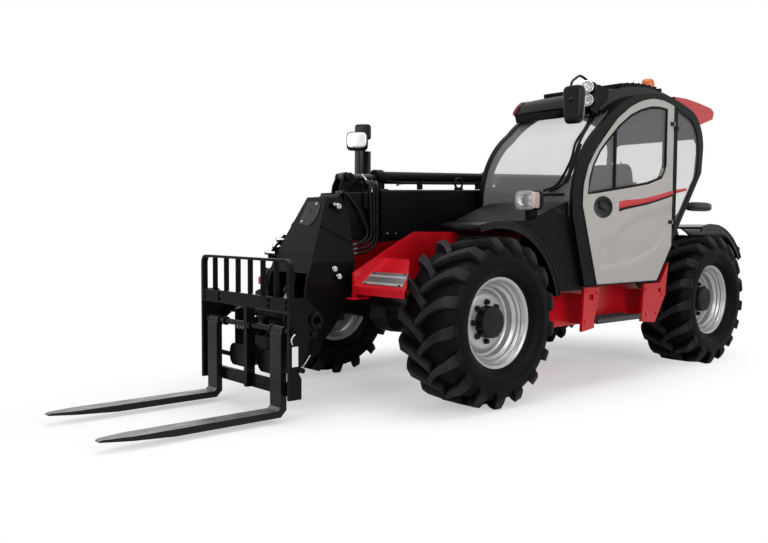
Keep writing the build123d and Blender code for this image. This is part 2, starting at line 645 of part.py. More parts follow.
# shallow pocket pressed into the door below the handle
DOOR_POCKET = ((-1340, 1216), (-1440, 1000), (-1660, 1030), (-1960, 1120), (-2110, 1240), (-1760, 1380))
DOOR_POCKET_DEPTH = 8
with BuildPart() as door_panel:
    with BuildSketch(side(CAB_LEFT)):
        door_outline()
    extrude(amount=DOOR_THICKNESS)
    with BuildSketch(side(CAB_LEFT)):
        outline(DOOR_POCKET)
    extrude(amount=DOOR_POCKET_DEPTH, mode=Mode.SUBTRACT)
    with BuildSketch(side(CAB_LEFT)):
        door_window()
    extrude(amount=DOOR_THICKNESS, mode=Mode.SUBTRACT)
    with BuildSketch(side(CAB_LEFT)):
        with Locations(HANDLE):
            Circle(HANDLE_RADIUS)
    extrude(amount=HANDLE_DISH, mode=Mode.SUBTRACT)
    with BuildSketch(side(CAB_LEFT)):
        door_window()
        with Locations((WINDOW_BAR_X, 2000)):
            Rectangle(WINDOW_BAR_WIDTH, 1000, mode=Mode.INTERSECT)
    extrude(amount=PANE_DEPTH - SEAT_GAP)
    # moving halves of the hinges, each standing on its fixed half
    for z in HINGE_Z:
        with BuildSketch(level(z + SEAT_GAP)):
            with Locations(HINGE):
                Circle(HINGE_RADIUS)
            with Locations((HINGE[0] + 36, CAB_LEFT + 4)):
                Rectangle(60, 8)
            with Locations((HINGE[0] + 11, CAB_LEFT + 10)):
                Rectangle(14, 14)
            with Locations(HINGE):
                Circle(HINGE_PIN_RADIUS + PIN_GAP, mode=Mode.SUBTRACT)
        extrude(amount=HINGE_KNUCKLE)
save(door_panel.part, "door_panel")

with BuildPart() as door_glass:
    with BuildSketch(side(CAB_LEFT - PANE_DEPTH)):
        door_window()
        offset(amount=-SEAT_GAP, kind=Kind.INTERSECTION)
    extrude(amount=GLASS)
save(door_glass.part, "door_glass")

with BuildPart() as door_handle:
    with BuildSketch(side(CAB_LEFT - HANDLE_DISH)):
        with Locations(HANDLE):
            Circle(HANDLE_RADIUS - 18)
    extrude(amount=-10)
    with BuildSketch(side(CAB_LEFT - 4)):
        with Locations(HANDLE):
            Rectangle(40, 130)
    extrude(amount=-22)
save(door_handle.part, "door_handle")

# Roof: a cap over the cab with a front lip, a red spoiler behind it and a guard of cross ribs on top
ROOF_SIDE = (
    (-1240, 2225), (-1215, 2290), (-1330, 2415), (-1600, 2478), (-1900, 2508), (-2200, 2490),
    (-2420, 2450), (-2560, 2400), (-2700, 2320), (-2660, 2240), (-1900, 2300),
)
ROOF_Y = (CAB_RIGHT + 25, CAB_LEFT - 70)
SPOILER_SIDE = (
    (-2400, 2486), (-2630, 2490), (-2870, 2472), (-3080, 2448), (-3140, 2416), (-3115, 2348),
    (-2905, 2283), (-2690, 2225), (-2640, 2300),
)
SPOILER_Y = (CAB_RIGHT + 100, CAB_LEFT - 90)
with BuildPart() as cab_roof:
    with BuildSketch(side(ROOF_Y[1])):
        outline(ROOF_SIDE)
    extrude(amount=ROOF_Y[1] - ROOF_Y[0])
    with BuildSketch(side(ROOF_Y[1] + 1)):
        cab_outline()
    extrude(amount=ROOF_Y[1] - ROOF_Y[0] + 2, mode=Mode.SUBTRACT)
save(cab_roof.part, "cab_roof")

with BuildPart() as roof_spoiler:
    with BuildSketch(side(SPOILER_Y[1])):
        outline(SPOILER_SIDE)
    extrude(amount=SPOILER_Y[1] - SPOILER_Y[0])
    with BuildSketch(side(SPOILER_Y[1] + 1)):
        cab_outline()
    extrude(amount=SPOILER_Y[1] - SPOILER_Y[0] + 2, mode=Mode.SUBTRACT)
    with BuildSketch(side(SPOILER_Y[1] + 1)):
        outline(ROOF_SIDE)
    extrude(amount=SPOILER_Y[1] - SPOILER_Y[0] + 2, mode=Mode.SUBTRACT)
save(roof_spoiler.part, "roof_spoiler")

RIB_COUNT = 8
RIB_PITCH = 85
GUARD_FRONT_X = -1560
with BuildPart() as roof_guard:
    for number in range(RIB_COUNT):
        x = GUARD_FRONT_X - number * RIB_PITCH
        # the guard stands on the roof's crown, which falls away ahead and behind
        crown = 2510 - 40 * ((x + 1950) / 420) ** 2
        box_between((x - 15, x + 15), (ROOF_Y[0] + 60, ROOF_Y[1] - 12), (crown, crown + 28))
    for y in (ROOF_Y[0] + 80, ROOF_Y[1] - 80):
        with BuildSketch(side(y)):
            outline((
                (-1540, 2450), (-1600, 2470), (-1900, 2500), (-2190, 2484), (-2190, 2520),
                (-1950, 2536), (-1600, 2504), (-1540, 2486),
            ))
        extrude(amount=15, both=True)
    with BuildSketch(side(ROOF_Y[1] + 1)):
        outline(ROOF_SIDE)
    extrude(amount=ROOF_Y[1] - ROOF_Y[0] + 2, mode=Mode.SUBTRACT)
save(roof_guard.part, "roof_guard")

# Driver's place: a seat on its box, and the steering column with its wheel
SEAT_Y = (CAB_LEFT + CAB_RIGHT) / 2
with BuildPart() as seat:
    box_between((-1950, -1560), (SEAT_Y - 200, SEAT_Y + 200), (CAB_FLOOR_Z + CAB_WALL, 1180))
    with BuildSketch(side(SEAT_Y)):
        outline((
            (-1480, 1190), (-1500, 1300), (-1950, 1275), (-2030, 1880), (-2090, 1925), (-2170, 1890),
            (-2090, 1210), (-1990, 1180), (-1540, 1180),
        ))
    extrude(amount=235, both=True)
save(seat.part, "seat")

COLUMN_TOP = (-1290, 1440)
WHEEL_RADIUS = 190
with BuildPart() as steering_column:
    with BuildSketch(side(SEAT_Y)):
        outline((
            (-1090, CAB_FLOOR_Z + CAB_WALL), (-1210, CAB_FLOOR_Z + CAB_WALL), (-1260, 1380),
            (-1300, 1440), (-1250, 1460), (-1170, 1400),
        ))
    extrude(amount=60, both=True)
    hub_plane = Plane(
        origin=(FRONT_AXLE_X + COLUMN_TOP[0], SEAT_Y, COLUMN_TOP[1]),
        x_dir=(0, 1, 0),
        z_dir=(-0.45, 0, 0.893),
    )
    with BuildSketch(hub_plane):
        Circle(45)
        Rectangle(2 * WHEEL_RADIUS - 10, 36)
        Circle(WHEEL_RADIUS)
        Circle(WHEEL_RADIUS - 30, mode=Mode.SUBTRACT)
        Rectangle(2 * WHEEL_RADIUS - 10, 36)
        Circle(45)
    extrude(amount=30)
save(steering_column.part, "steering_column")

# Cowls between the front wheels and the cab, one a side, which carry the lamps and the right mirror's mast
COWL_RADIUS = FENDER_RADIUS + SEAT_GAP
COWL_Y = (PLATE_OUTER_Y, CAB_LEFT - 40)
BAY_X = (-2350, -740)
HOOD_WALL = 16
HOOD_X = (BAY_X[0] - 30, BAY_X[1] + MOVING_GAP + HOOD_WALL)


def cowl_outline():
    """A cowl's side profile in the current sketch: its front edge follows the fender."""
    low, middle, high = (
        (COWL_RADIUS * cos(radians(a)), AXLE_Z + COWL_RADIUS * sin(radians(a))) for a in (165.5, 140, 114)
    )
    with BuildLine() as edges:
        ThreePointArc(low, middle, high)
        Polyline(
            high, (-330, 1352), (-560, 1440), (-760, 1500), (-850, 1500), (-985, 812), (-712, 812), low
        )
    make_face(edges.line.edges())


with BuildPart() as front_cowls:
    for sign in (1, -1):
        with BuildSketch(side(sign * (COWL_Y[0] + COWL_Y[1]) / 2)):
            cowl_outline()
        extrude(amount=(COWL_Y[1] - COWL_Y[0]) / 2, both=True)
    with BuildSketch(side(CAB_LEFT)):
        cab_outline()
    extrude(amount=CAB_LEFT - CAB_RIGHT, mode=Mode.SUBTRACT)
    box_between((-1000, HOOD_X[1] + MOVING_GAP), (-1200, 0), (700, 1600), Mode.SUBTRACT)
save(front_cowls.part, "front_cowls")

# Engine side: a red tray and walls right of the boom, one plain engine block, and the hood over them
BAY_Y = (-1100, -PLATE_OUTER_Y)
BAY_FLOOR = (505, 800)
BAY_TOP = 1400
BAY_WALL = 20
ENGINE = ((-2050, -1150), (-960, -430), (BAY_FLOOR[1], 1290))
# left of the middle, height of the hood's lengthwise hinge
HOOD_HINGE = (-PLATE_OUTER_Y - 10, 1440)
HOOD_HINGE_X = (-2200, -900)
HOOD_EDGE_Y = HOOD_HINGE[0] - 15
HOOD_SECTION = (
    (HOOD_EDGE_Y, 1448), (-900, 1420), (-1060, 1350), (-1130, 1210), (-1150, 830), (HOOD_EDGE_Y, 830),
)
HOOD_INSIDE = (
    (HOOD_EDGE_Y + 5, 1430), (-896, 1403), (-1048, 1338), (-1114, 1206), (-1133, 820),
    (HOOD_EDGE_Y + 5, 820),
)
HOOD_PIN_RADIUS = 5
LOUVRE_COUNT = 9

with BuildPart() as engine_bay:
    box_between(BAY_X, BAY_Y, BAY_FLOOR)
    box_between(BAY_X, (BAY_Y[1] - BAY_WALL, BAY_Y[1]), (BAY_FLOOR[0], BAY_TOP))
    box_between((BAY_X[0], BAY_X[0] + BAY_WALL), (-1000, BAY_Y[1]), (BAY_FLOOR[0], 1300))
    box_between((BAY_X[1] - BAY_WALL, BAY_X[1]), (-1000, BAY_Y[1]), (BAY_FLOOR[0], 1300))
    # lugs on the inner wall that hold the hood's hinge pins
    for x in HOOD_HINGE_X:
        with BuildSketch(front(x - 15)):
            with Locations(HOOD_HINGE):
                Circle(10)
            with Locations((HOOD_HINGE[0], (BAY_TOP + HOOD_HINGE[1]) / 2)):
                Rectangle(20, HOOD_HINGE[1] - BAY_TOP)
        extrude(amount=30)
        with BuildSketch(front(x - 45)):
            with Locations(HOOD_HINGE):
                Circle(HOOD_PIN_RADIUS)
        extrude(amount=90)
save(engine_bay.part, "engine_bay")

with BuildPart() as engine_block:
    box_between(*ENGINE)
save(engine_block.part, "engine_block")

with BuildPart() as engine_hood:
    with BuildSketch(front(HOOD_X[0])):
        outline(HOOD_SECTION)
    extrude(amount=HOOD_X[1] - HOOD_X[0])
    with BuildSketch(front(HOOD_X[0] + HOOD_WALL)):
        outline(HOOD_INSIDE)
    extrude(amount=HOOD_X[1] - HOOD_X[0] - 2 * HOOD_WALL, mode=Mode.SUBTRACT)
    with BuildSketch(side(-1000)):
        with Locations(((BAY_X[0] + BAY_X[1]) / 2, 1030)):
            with GridLocations(140, 200, LOUVRE_COUNT, 1):
                RectangleRounded(90, 240, 30)
    extrude(amount=200, mode=Mode.SUBTRACT)
    # a pair of knuckles beside each lug of the bay
    for x in HOOD_HINGE_X:
        for start in (x - 40, x + 16):
            with BuildSketch(front(start)):
                with Locations(HOOD_HINGE):
                    Circle(HOOD_PIN_RADIUS + 5)
                with Locations((HOOD_HINGE[0] - 12, HOOD_HINGE[1])):
                    Rectangle(24, 12)
                with Locations(HOOD_HINGE):
                    Circle(HOOD_PIN_RADIUS + PIN_GAP, mode=Mode.SUBTRACT)
            extrude(amount=24)
save(engine_hood.part, "engine_hood")

# Lamps: a headlamp on each cowl, two round work lamps at the roof's left front corner, and tail lamps
HEADLAMP_Y = COWL_Y[1] - 55
HEADLAMP_HALF_WIDTH = 95
HEADLAMP_SIDE = ((-445, 1440), (-455, 1550), (-330, 1562), (-305, 1500), (-320, 1432))
WORK_LAMP_RADIUS = 48
WORK_LAMP_Z = (2300, 2403)
TAIL_LAMP_Y = FENDER_Y[1] - 120
TAIL_LAMP_Z = AXLE_Z + 460
with BuildPart() as lamps:
    for sign in (1, -1):
        with BuildSketch(side(sign * HEADLAMP_Y)):
            outline(HEADLAMP_SIDE)
        extrude(amount=HEADLAMP_HALF_WIDTH, both=True)
        with BuildSketch(side(sign * HEADLAMP_Y)):
            with Locations((-405, 1400)):
                Rectangle(70, 100)
        extrude(amount=30, both=True)
        with BuildSketch(side(sign * HEADLAMP_Y)):
            cowl_outline()
        extrude(amount=40, both=True, mode=Mode.SUBTRACT)
    # tail lamps stand on the rear fenders' curved backs
    for sign in (1, -1):
        with BuildSketch(front(REAR_AXLE_X - FENDER_RADIUS + 70)):
            with Locations((sign * TAIL_LAMP_Y, TAIL_LAMP_Z)):
                RectangleRounded(200, 90, 20)
        extrude(amount=150)
    with BuildSketch(side(0)):
        with Locations((REAR_AXLE_X, AXLE_Z)):
            Circle(FENDER_RADIUS + SEAT_GAP)
    extrude(amount=TRACK, both=True, mode=Mode.SUBTRACT)
    # bracket plate beside the roof, with the two work lamps on its front edge
    with BuildSketch(side(ROOF_Y[1] + 12)):
        outline((
            (-1060, 2215), (-1060, 2450), (-1180, 2440), (-1400, 2405), (-1420, 2300), (-1150, 2200),
        ))
    extrude(amount=12)
    with BuildSketch(side(CAB_LEFT)):
        cab_outline()
    extrude(amount=CAB_LEFT - CAB_RIGHT, mode=Mode.SUBTRACT)
    for z in WORK_LAMP_Z:
        with BuildSketch(front(-1060)):
            with Locations((ROOF_Y[1] + 15, z)):
                Circle(WORK_LAMP_RADIUS)
        extrude(amount=70)
save(lamps.part, "lamps")

# Mirrors: one at the roof's left front corner, a small one low at the left rear, and one on a mast at the right
MIRROR_TUBE_RADIUS = 11
# bends of the left mirror's tube, in side view, and its distance left
LEFT_MIRROR_TUBE = ((-1420, 2330), (-1256, 2410), (-994, 2492), (-880, 2440), (-862, 2370))
LEFT_MIRROR_Y = CAB_LEFT - 100
# the right mirror's mast: its place, and its size along the machine and across it
MAST = (-435, 155 - HEADLAMP_Y)
MAST_SECTION = (90, 60)
with BuildPart() as mirrors:
    with BuildLine(side(LEFT_MIRROR_Y)):
        tube_path = FilletPolyline(*LEFT_MIRROR_TUBE, radius=30)
    with BuildSketch(Plane(origin=tube_path @ 0, z_dir=tube_path % 0)):
        Circle(MIRROR_TUBE_RADIUS)
    sweep(path=tube_path)
    box_between((-890, -830), (LEFT_MIRROR_Y - 40, LEFT_MIRROR_Y + 124), (2110, 2390))
    with BuildSketch(side(CAB_LEFT + 22)):
        with Locations((-2755, 1505)):
            RectangleRounded(430, 86, 40)
    extrude(amount=82)
    box_between((-2600, -2400), (CAB_LEFT - 30, CAB_LEFT - 10), (1490, 1510))
    with BuildSketch(level(1300)):
        with Locations(MAST):
            Rectangle(*MAST_SECTION)
    extrude(amount=740)
    box_between((MAST[0] - 30, MAST[0] + 40), (MAST[1] - 170, MAST[1] + 40), (2010, 2240))
    with BuildSketch(side(-COWL_Y[0])):
        cowl_outline()
    extrude(amount=COWL_Y[1], mode=Mode.SUBTRACT)
    with BuildSketch(side(CAB_LEFT)):
        cab_outline()
    extrude(amount=CAB_LEFT - CAB_RIGHT, mode=Mode.SUBTRACT)
    with BuildSketch(side(ROOF_Y[1])):
        outline(ROOF_SIDE)
    extrude(amount=ROOF_Y[1] - ROOF_Y[0], mode=Mode.SUBTRACT)
save(mirrors.part, "mirrors")

BEACON = (-2280, ROOF_Y[1] - 215)
BEACON_FOOT_Z = 2470
with BuildPart() as beacon:
    with BuildSketch(level(BEACON_FOOT_Z)):
        with Locations(BEACON):
            Circle(64)
    extrude(amount=100)
    with BuildSketch(level(BEACON_FOOT_Z + 100)):
        with Locations(BEACON):
            Circle(60)
    extrude(amount=85, taper=4)
    with BuildSketch(side(ROOF_Y[1])):
        outline(ROOF_SIDE)
    extrude(amount=ROOF_Y[1] - ROOF_Y[0], mode=Mode.SUBTRACT)
save(beacon.part, "beacon")

# Boom: an outer box beam on the chassis's pivot pin, and an inner one that slides in it
BOOM_REAR = (BOOM_PIVOT[0] - BOOM_MOUTH[0]) / cos(radians(BOOM_SLOPE)) - BOOM_TAIL
BOOM_BORE_WIDTH = BOOM_WIDTH - 2 * BOOM_WALL
BOOM_BORE_HEIGHT = BOOM_HEIGHT - 2 * BOOM_WALL
INNER_WIDTH = BOOM_BORE_WIDTH - 2 * BOOM_SLIDE_GAP
INNER_HEIGHT = BOOM_BORE_HEIGHT - 2 * BOOM_SLIDE_GAP
INNER_WALL = 8
INNER_REAR = BOOM_REAR + 300
INNER_FRONT = 340
CORNER = 22
LIFT_EAR_Y = (62, 84)
EXTENSION_UP = 300
EXTENSION_BARREL_RADIUS = 50
EXTENSION_ROD_RADIUS = 28
EXTENSION_BARREL = (BOOM_REAR + 390, -90)
EXTENSION_PIN = 220
EXTENSION_EAR_Y = 45
EXTENSION_PIN_RADIUS = 18

with BuildPart() as boom_outer:
    with BuildSketch(boom_section(BOOM_REAR)):
        RectangleRounded(BOOM_WIDTH, BOOM_HEIGHT, CORNER)
    extrude(amount=-BOOM_REAR)
    with BuildSketch(boom_section(-90)):
        RectangleRounded(BOOM_WIDTH + 16, BOOM_HEIGHT + 16, CORNER + 8)
    extrude(amount=90)
    with BuildSketch(boom_section(BOOM_REAR + 280)):
        RectangleRounded(BOOM_BORE_WIDTH, BOOM_BORE_HEIGHT, CORNER - BOOM_WALL)
    extrude(amount=-BOOM_REAR, mode=Mode.SUBTRACT)
    # rear end: rounded about the pivot pin
    with BuildSketch(side(0)):
        with Locations(BOOM_PIVOT):
            Circle(PIVOT_BOSS_RADIUS)
    extrude(amount=BOOM_WIDTH / 2 + 20, both=True)
    with BuildSketch(side(0)):
        with Locations(BOOM_PIVOT):
            Circle(PIVOT_PIN_RADIUS + PIN_GAP)
    extrude(amount=BOOM_WIDTH, both=True, mode=Mode.SUBTRACT)
    # ears under the beam for the lift cylinder's rod
    ear_x = LIFT_EYE[0]
    ear_top = BOOM_MOUTH[1] - BOOM_HEIGHT / 2 + (BOOM_MOUTH[0] - ear_x) * sin(radians(BOOM_SLOPE))
    for sign in (1, -1):
        with BuildSketch(side(sign * sum(LIFT_EAR_Y) / 2)):
            outline((
                (ear_x - 190, ear_top + 9), (ear_x + 190, ear_top - 4), (ear_x + 60, LIFT_EYE[1] - 20),
                (ear_x - 60, LIFT_EYE[1] - 20),
            ))
            with Locations(LIFT_EYE):
                Circle(62)
        extrude(amount=(LIFT_EAR_Y[1] - LIFT_EAR_Y[0]) / 2, both=True)
    # saddles that carry the extension cylinder
    for along in (EXTENSION_BARREL[0] + 150, -1450, -150):
        with BuildSketch(boom_section(along)):
            with Locations((0, (BOOM_HEIGHT / 2 + EXTENSION_UP) / 2)):
                Rectangle(90, EXTENSION_UP - BOOM_HEIGHT / 2)
            with Locations((0, EXTENSION_UP)):
                Circle(EXTENSION_BARREL_RADIUS + 14)
                Circle(EXTENSION_BARREL_RADIUS, mode=Mode.SUBTRACT)
        extrude(amount=70)
save(boom_outer.part, "boom_outer")

with BuildPart() as extension_barrel:
    with BuildSketch(boom_section(EXTENSION_BARREL[0])):
        with Locations((0, EXTENSION_UP)):
            Circle(EXTENSION_BARREL_RADIUS - SEAT_GAP)
    extrude(amount=EXTENSION_BARREL[1] - EXTENSION_BARREL[0])
    with BuildSketch(boom_section(EXTENSION_BARREL[1])):
        with Locations((0, EXTENSION_UP)):
            Circle(EXTENSION_ROD_RADIUS + PIN_GAP)
    extrude(amount=EXTENSION_BARREL[0] - EXTENSION_BARREL[1] + 60, mode=Mode.SUBTRACT)
save(extension_barrel.part, "extension_barrel")

with BuildPart() as boom_inner:
    with BuildSketch(boom_section(INNER_REAR)):
        RectangleRounded(INNER_WIDTH, INNER_HEIGHT, 12)
        RectangleRounded(INNER_WIDTH - 2 * INNER_WALL, INNER_HEIGHT - 2 * INNER_WALL, 6, mode=Mode.SUBTRACT)
    extrude(amount=INNER_FRONT - INNER_REAR)
    # bracket on the beam's nose for the extension cylinder's rod
    for sign in (1, -1):
        with BuildSketch(boom_side(sign * EXTENSION_EAR_Y)):
            outline((
                (60, INNER_HEIGHT / 2 - 2), (310, INNER_HEIGHT / 2 - 2), (300, 235), (250, 330),
                (190, 330), (70, 235),
            ))
        extrude(amount=8, both=True)
    with BuildSketch(boom_side(0)):
        with Locations((EXTENSION_PIN, EXTENSION_UP)):
            Circle(EXTENSION_PIN_RADIUS)
    extrude(amount=EXTENSION_EAR_Y + 20, both=True)
save(boom_inner.part, "boom_inner")

with BuildPart() as extension_rod:
    with BuildSketch(boom_section(EXTENSION_BARREL[0] + 70)):
        with Locations((0, EXTENSION_UP)):
            Circle(EXTENSION_ROD_RADIUS)
    extrude(amount=EXTENSION_PIN - 30 - EXTENSION_BARREL[0] - 70)
    with BuildSketch(boom_side(0)):
        with Locations((EXTENSION_PIN, EXTENSION_UP)):
            Circle(40)
    extrude(amount=28, both=True)
    with BuildSketch(boom_side(0)):
        with Locations((EXTENSION_PIN, EXTENSION_UP)):
            Circle(EXTENSION_PIN_RADIUS + PIN_GAP)
    extrude(amount=40, both=True, mode=Mode.SUBTRACT)
save(extension_rod.part, "extension_rod")

# Boom head: a hollow fabricated box that widens downwards, welded round the beam's nose. Its side plates
# run on below as two cheeks that hold the coupler's pin, with the tilt cylinder between them
HEAD_HALF_WIDTH = 250
HEAD_PLATE = 22
HEAD_TOP = (117, 1545)
HEAD_FLARE_Z = 1041
HEAD_SIDE = (
    (604, 1545), (652, 1545), (675, 1522), (779, 1520), (853, 1370), (936, 1200), (980, 1110),
    (1045, 930), (1064, 790), (1090, 520), (1060, 400), (970, 398), (790, 590), (640, 810), (604, 1195),
)
# ahead of this the box is hollow above the cheeks, and below this height it is open in front
HEAD_NOSE_X = 654
HEAD_OPEN_Z = 965
COUPLER_PIN_RADIUS = 30
COUPLER_BOSS_RADIUS = 60
COUPLER_BOSS_DEPTH = 70
PIVOT_LUG_RADIUS = 75
TILT_PIN_RADIUS = 25
TILT_PIN_REACH = 160
# nearest and farthest distance of the tilt pin's collars from the middle
TILT_COLLAR_Y = (60, 152)
TILT_COLLAR_RADIUS = 42


def head_front(inset):
    """The head's front view in the current sketch, narrowed by inset on each side."""
    flare = [(HEAD_TOP[0] - inset, HEAD_TOP[1]), (HEAD_HALF_WIDTH - inset, HEAD_FLARE_Z)]
    foot = (HEAD_HALF_WIDTH - inset, COUPLER_PIVOT[1] - 2 * PIVOT_LUG_RADIUS)
    half = [*flare, foot]
    outline(half + [(-y, z) for y, z in reversed(half)])


with BuildPart() as head_space:
    with BuildSketch(side(0)):
        outline(HEAD_SIDE)
        offset(amount=-HEAD_PLATE, kind=Kind.INTERSECTION)
        outline((
            (900, HEAD_OPEN_Z), (1200, HEAD_OPEN_Z), (1200, 330), (900, 330), (820, 590), (760, 700),
        ))
        outline(((560, 1600), (HEAD_NOSE_X, 1600), (HEAD_NOSE_X, 1170), (560, 1170)), Mode.SUBTRACT)
    extrude(amount=HEAD_HALF_WIDTH, both=True)
    with BuildSketch(front(500)):
        head_front(HEAD_PLATE)
    extrude(amount=800, mode=Mode.INTERSECT)

with BuildPart() as boom_head:
    with BuildSketch(side(0)):
        outline(HEAD_SIDE)
        with Locations(COUPLER_PIVOT):
            Circle(PIVOT_LUG_RADIUS)
    extrude(amount=HEAD_HALF_WIDTH, both=True)
    with BuildSketch(front(500)):
        head_front(0)
    extrude(amount=800, mode=Mode.INTERSECT)
    add(head_space.part, mode=Mode.SUBTRACT)
    # seat for the inner beam's nose
    with BuildSketch(boom_section(INNER_FRONT + SEAT_GAP)):
        Rectangle(INNER_WIDTH + 2 * SEAT_GAP, INNER_HEIGHT + 2 * SEAT_GAP)
    extrude(amount=-200, mode=Mode.SUBTRACT)
    for sign in (1, -1):
        with BuildSketch(side(sign * HEAD_HALF_WIDTH)):
            with Locations(COUPLER_PIVOT):
                Circle(COUPLER_BOSS_RADIUS)
        extrude(amount=sign * (HEAD_PLATE + COUPLER_BOSS_DEPTH))
        with BuildSketch(side(sign * TILT_COLLAR_Y[1])):
            with Locations(TILT_TOP):
                Circle(TILT_COLLAR_RADIUS)
        extrude(amount=sign * (TILT_COLLAR_Y[1] - TILT_COLLAR_Y[0]))
    with BuildSketch(side(0)):
        with Locations(TILT_TOP):
            Circle(TILT_PIN_RADIUS)
    extrude(amount=TILT_PIN_REACH, both=True)
    with BuildSketch(side(0)):
        with Locations(COUPLER_PIVOT):
            Circle(COUPLER_PIN_RADIUS + PIN_GAP)
    extrude(amount=HEAD_HALF_WIDTH + 20, both=True, mode=Mode.SUBTRACT)
save(boom_head.part, "boom_head")

# Cylinders: each has a barrel on its fixed pin and a rod whose eye stands between the moving ears
# name, fixed pin, rod's eye, then the radii of pin, barrel's eye, barrel, rod and rod's eye, half the eyes'
# width, and how far from the fixed pin the gland and the rod's inner end are
CYLINDERS = (
    ("lift", LIFT_BASE, LIFT_EYE, LIFT_PIN_RADIUS, 69, 68, 45, 62, 50, 1230, 100),
    ("tilt", TILT_TOP, TILT_EYE, TILT_PIN_RADIUS, 38, 38, 24, 34, 32, 730, 138),
)
CYLINDER_FLOOR = 24

for name, base, eye, pin, lug, barrel, rod, eye_radius, eye_half, gland, rod_end in CYLINDERS:
    square = rod_plane(base, eye)
    length = hypot(eye[0] - base[0], eye[1] - base[1])
    with BuildPart() as barrel_part:
        with BuildSketch(square.offset(pin)):
            Circle(barrel)
        extrude(amount=gland - pin)
        with BuildSketch(square.offset(gland - 50)):
            Circle(barrel + 8)
        extrude(amount=50)
        with BuildSketch(side(0)):
            with Locations(base):
                Circle(lug)
        extrude(amount=eye_half + 5, both=True)
        with BuildSketch(side(0)):
            with Locations(base):
                Circle(pin + PIN_GAP)
        extrude(amount=barrel + 20, both=True, mode=Mode.SUBTRACT)
        with BuildSketch(square.offset(gland)):
            Circle(rod + PIN_GAP)
        extrude(amount=-(gland - lug - CYLINDER_FLOOR), mode=Mode.SUBTRACT)
    save(barrel_part.part, f"{name}_barrel")
    with BuildPart() as rod_part:
        with BuildSketch(square.offset(rod_end)):
            Circle(rod)
        extrude(amount=length - rod_end - eye_radius / 2)
        with BuildSketch(side(0)):
            with Locations(eye):
                Circle(eye_radius)
        extrude(amount=eye_half, both=True)
        with BuildSketch(side(0)):
            with Locations(eye):
                Circle(pin - 5)
        extrude(amount=eye_half + 4, both=True)
    save(rod_part.part, f"{name}_rod")

# Coupler: hangs on the boom head's lower pin and hooks under the fork carriage's upper tube
HOOK_TUBE = (1217, 677)
HOOK_TUBE_RADIUS = 32
SIDE_PLATE = 25
COUPLER_EAR_Y = (HEAD_HALF_WIDTH + MOVING_GAP, HEAD_HALF_WIDTH + MOVING_GAP + 30)
COUPLER_BEAM = ((1230, 1290), (400, 520))
COUPLER_HALF_WIDTH = 330
TILT_EAR_Y = (46, 68)
LOCK_PIN = (1300, 345)
COUPLER_EAR = ((1020, 525), (1290, 560), (1290, 300), (1200, 275), (1020, 375))
HOOK_PLATE = (
    (1200, 400), (1160, 560), (1150, 690), (1165, 715), (1290, 690), (1290, 300), (1230, 275), (1190, 300),
)

with BuildPart() as coupler:
    with BuildSketch(side(0)):
        with Locations(COUPLER_PIVOT):
            Circle(COUPLER_PIN_RADIUS)
    extrude(amount=COUPLER_EAR_Y[1] + 14, both=True)
    box_between(COUPLER_BEAM[0], (-COUPLER_HALF_WIDTH, COUPLER_HALF_WIDTH), COUPLER_BEAM[1])
    for sign in (1, -1):
        with BuildSketch(side(sign * sum(COUPLER_EAR_Y) / 2)):
            outline(COUPLER_EAR)
            with Locations(COUPLER_PIVOT):
                Circle(75)
        extrude(amount=(COUPLER_EAR_Y[1] - COUPLER_EAR_Y[0]) / 2, both=True)
        with BuildSketch(side(sign * (COUPLER_HALF_WIDTH - 15))):
            outline(HOOK_PLATE)
            with Locations(HOOK_TUBE):
                Circle(HOOK_TUBE_RADIUS + SEAT_GAP, mode=Mode.SUBTRACT)
            with Locations((HOOK_TUBE[0], HOOK_TUBE[1] + 60)):
                Rectangle(2 * (HOOK_TUBE_RADIUS + SEAT_GAP), 120, mode=Mode.SUBTRACT)
        extrude(amount=15, both=True)
        with BuildSketch(side(sign * sum(TILT_EAR_Y) / 2)):
            outline(((1235, 410), (1285, 500), (1150, 690), (1116, 692), (1075, 640), (1190, 430)))
            with Locations(TILT_EYE):
                Circle(44)
        extrude(amount=(TILT_EAR_Y[1] - TILT_EAR_Y[0]) / 2, both=True)
        with BuildSketch(side(sign * COUPLER_HALF_WIDTH)):
            with Locations(LOCK_PIN):
                Circle(18)
        extrude(amount=-sign * (CARRIAGE_HALF_WIDTH - SIDE_PLATE - SEAT_GAP - COUPLER_HALF_WIDTH))
        # lower lobe that bears on the tool, and the web above the beam
        with BuildSketch(front(1235)):
            with Locations((sign * 190, 365)):
                RectangleRounded(240, 160, 60)
        extrude(amount=110)
        box_between((1236, 1262), sorted((sign * 90, sign * 300)), (510, 640))
save(coupler.part, "coupler")

# Fork carriage: two side plates tied by a hook tube, a fork shaft, two beams and a middle post
BEAM_TOP = 830
FORK_SHAFT = (1390, 609)
FORK_SHAFT_RADIUS = 20
SHANK_DEPTH = 45
SHANK_REAR_X = CARRIAGE_FACE_X - SHANK_DEPTH
CARRIAGE_SIDE = (
    (CARRIAGE_FACE_X, 163), (1330, 163), (1330, 298), (1351, 334), (1245, 590), (1175, 640),
    (1165, 700), (1190, 735), (1300, BEAM_TOP), (CARRIAGE_FACE_X, BEAM_TOP),
)

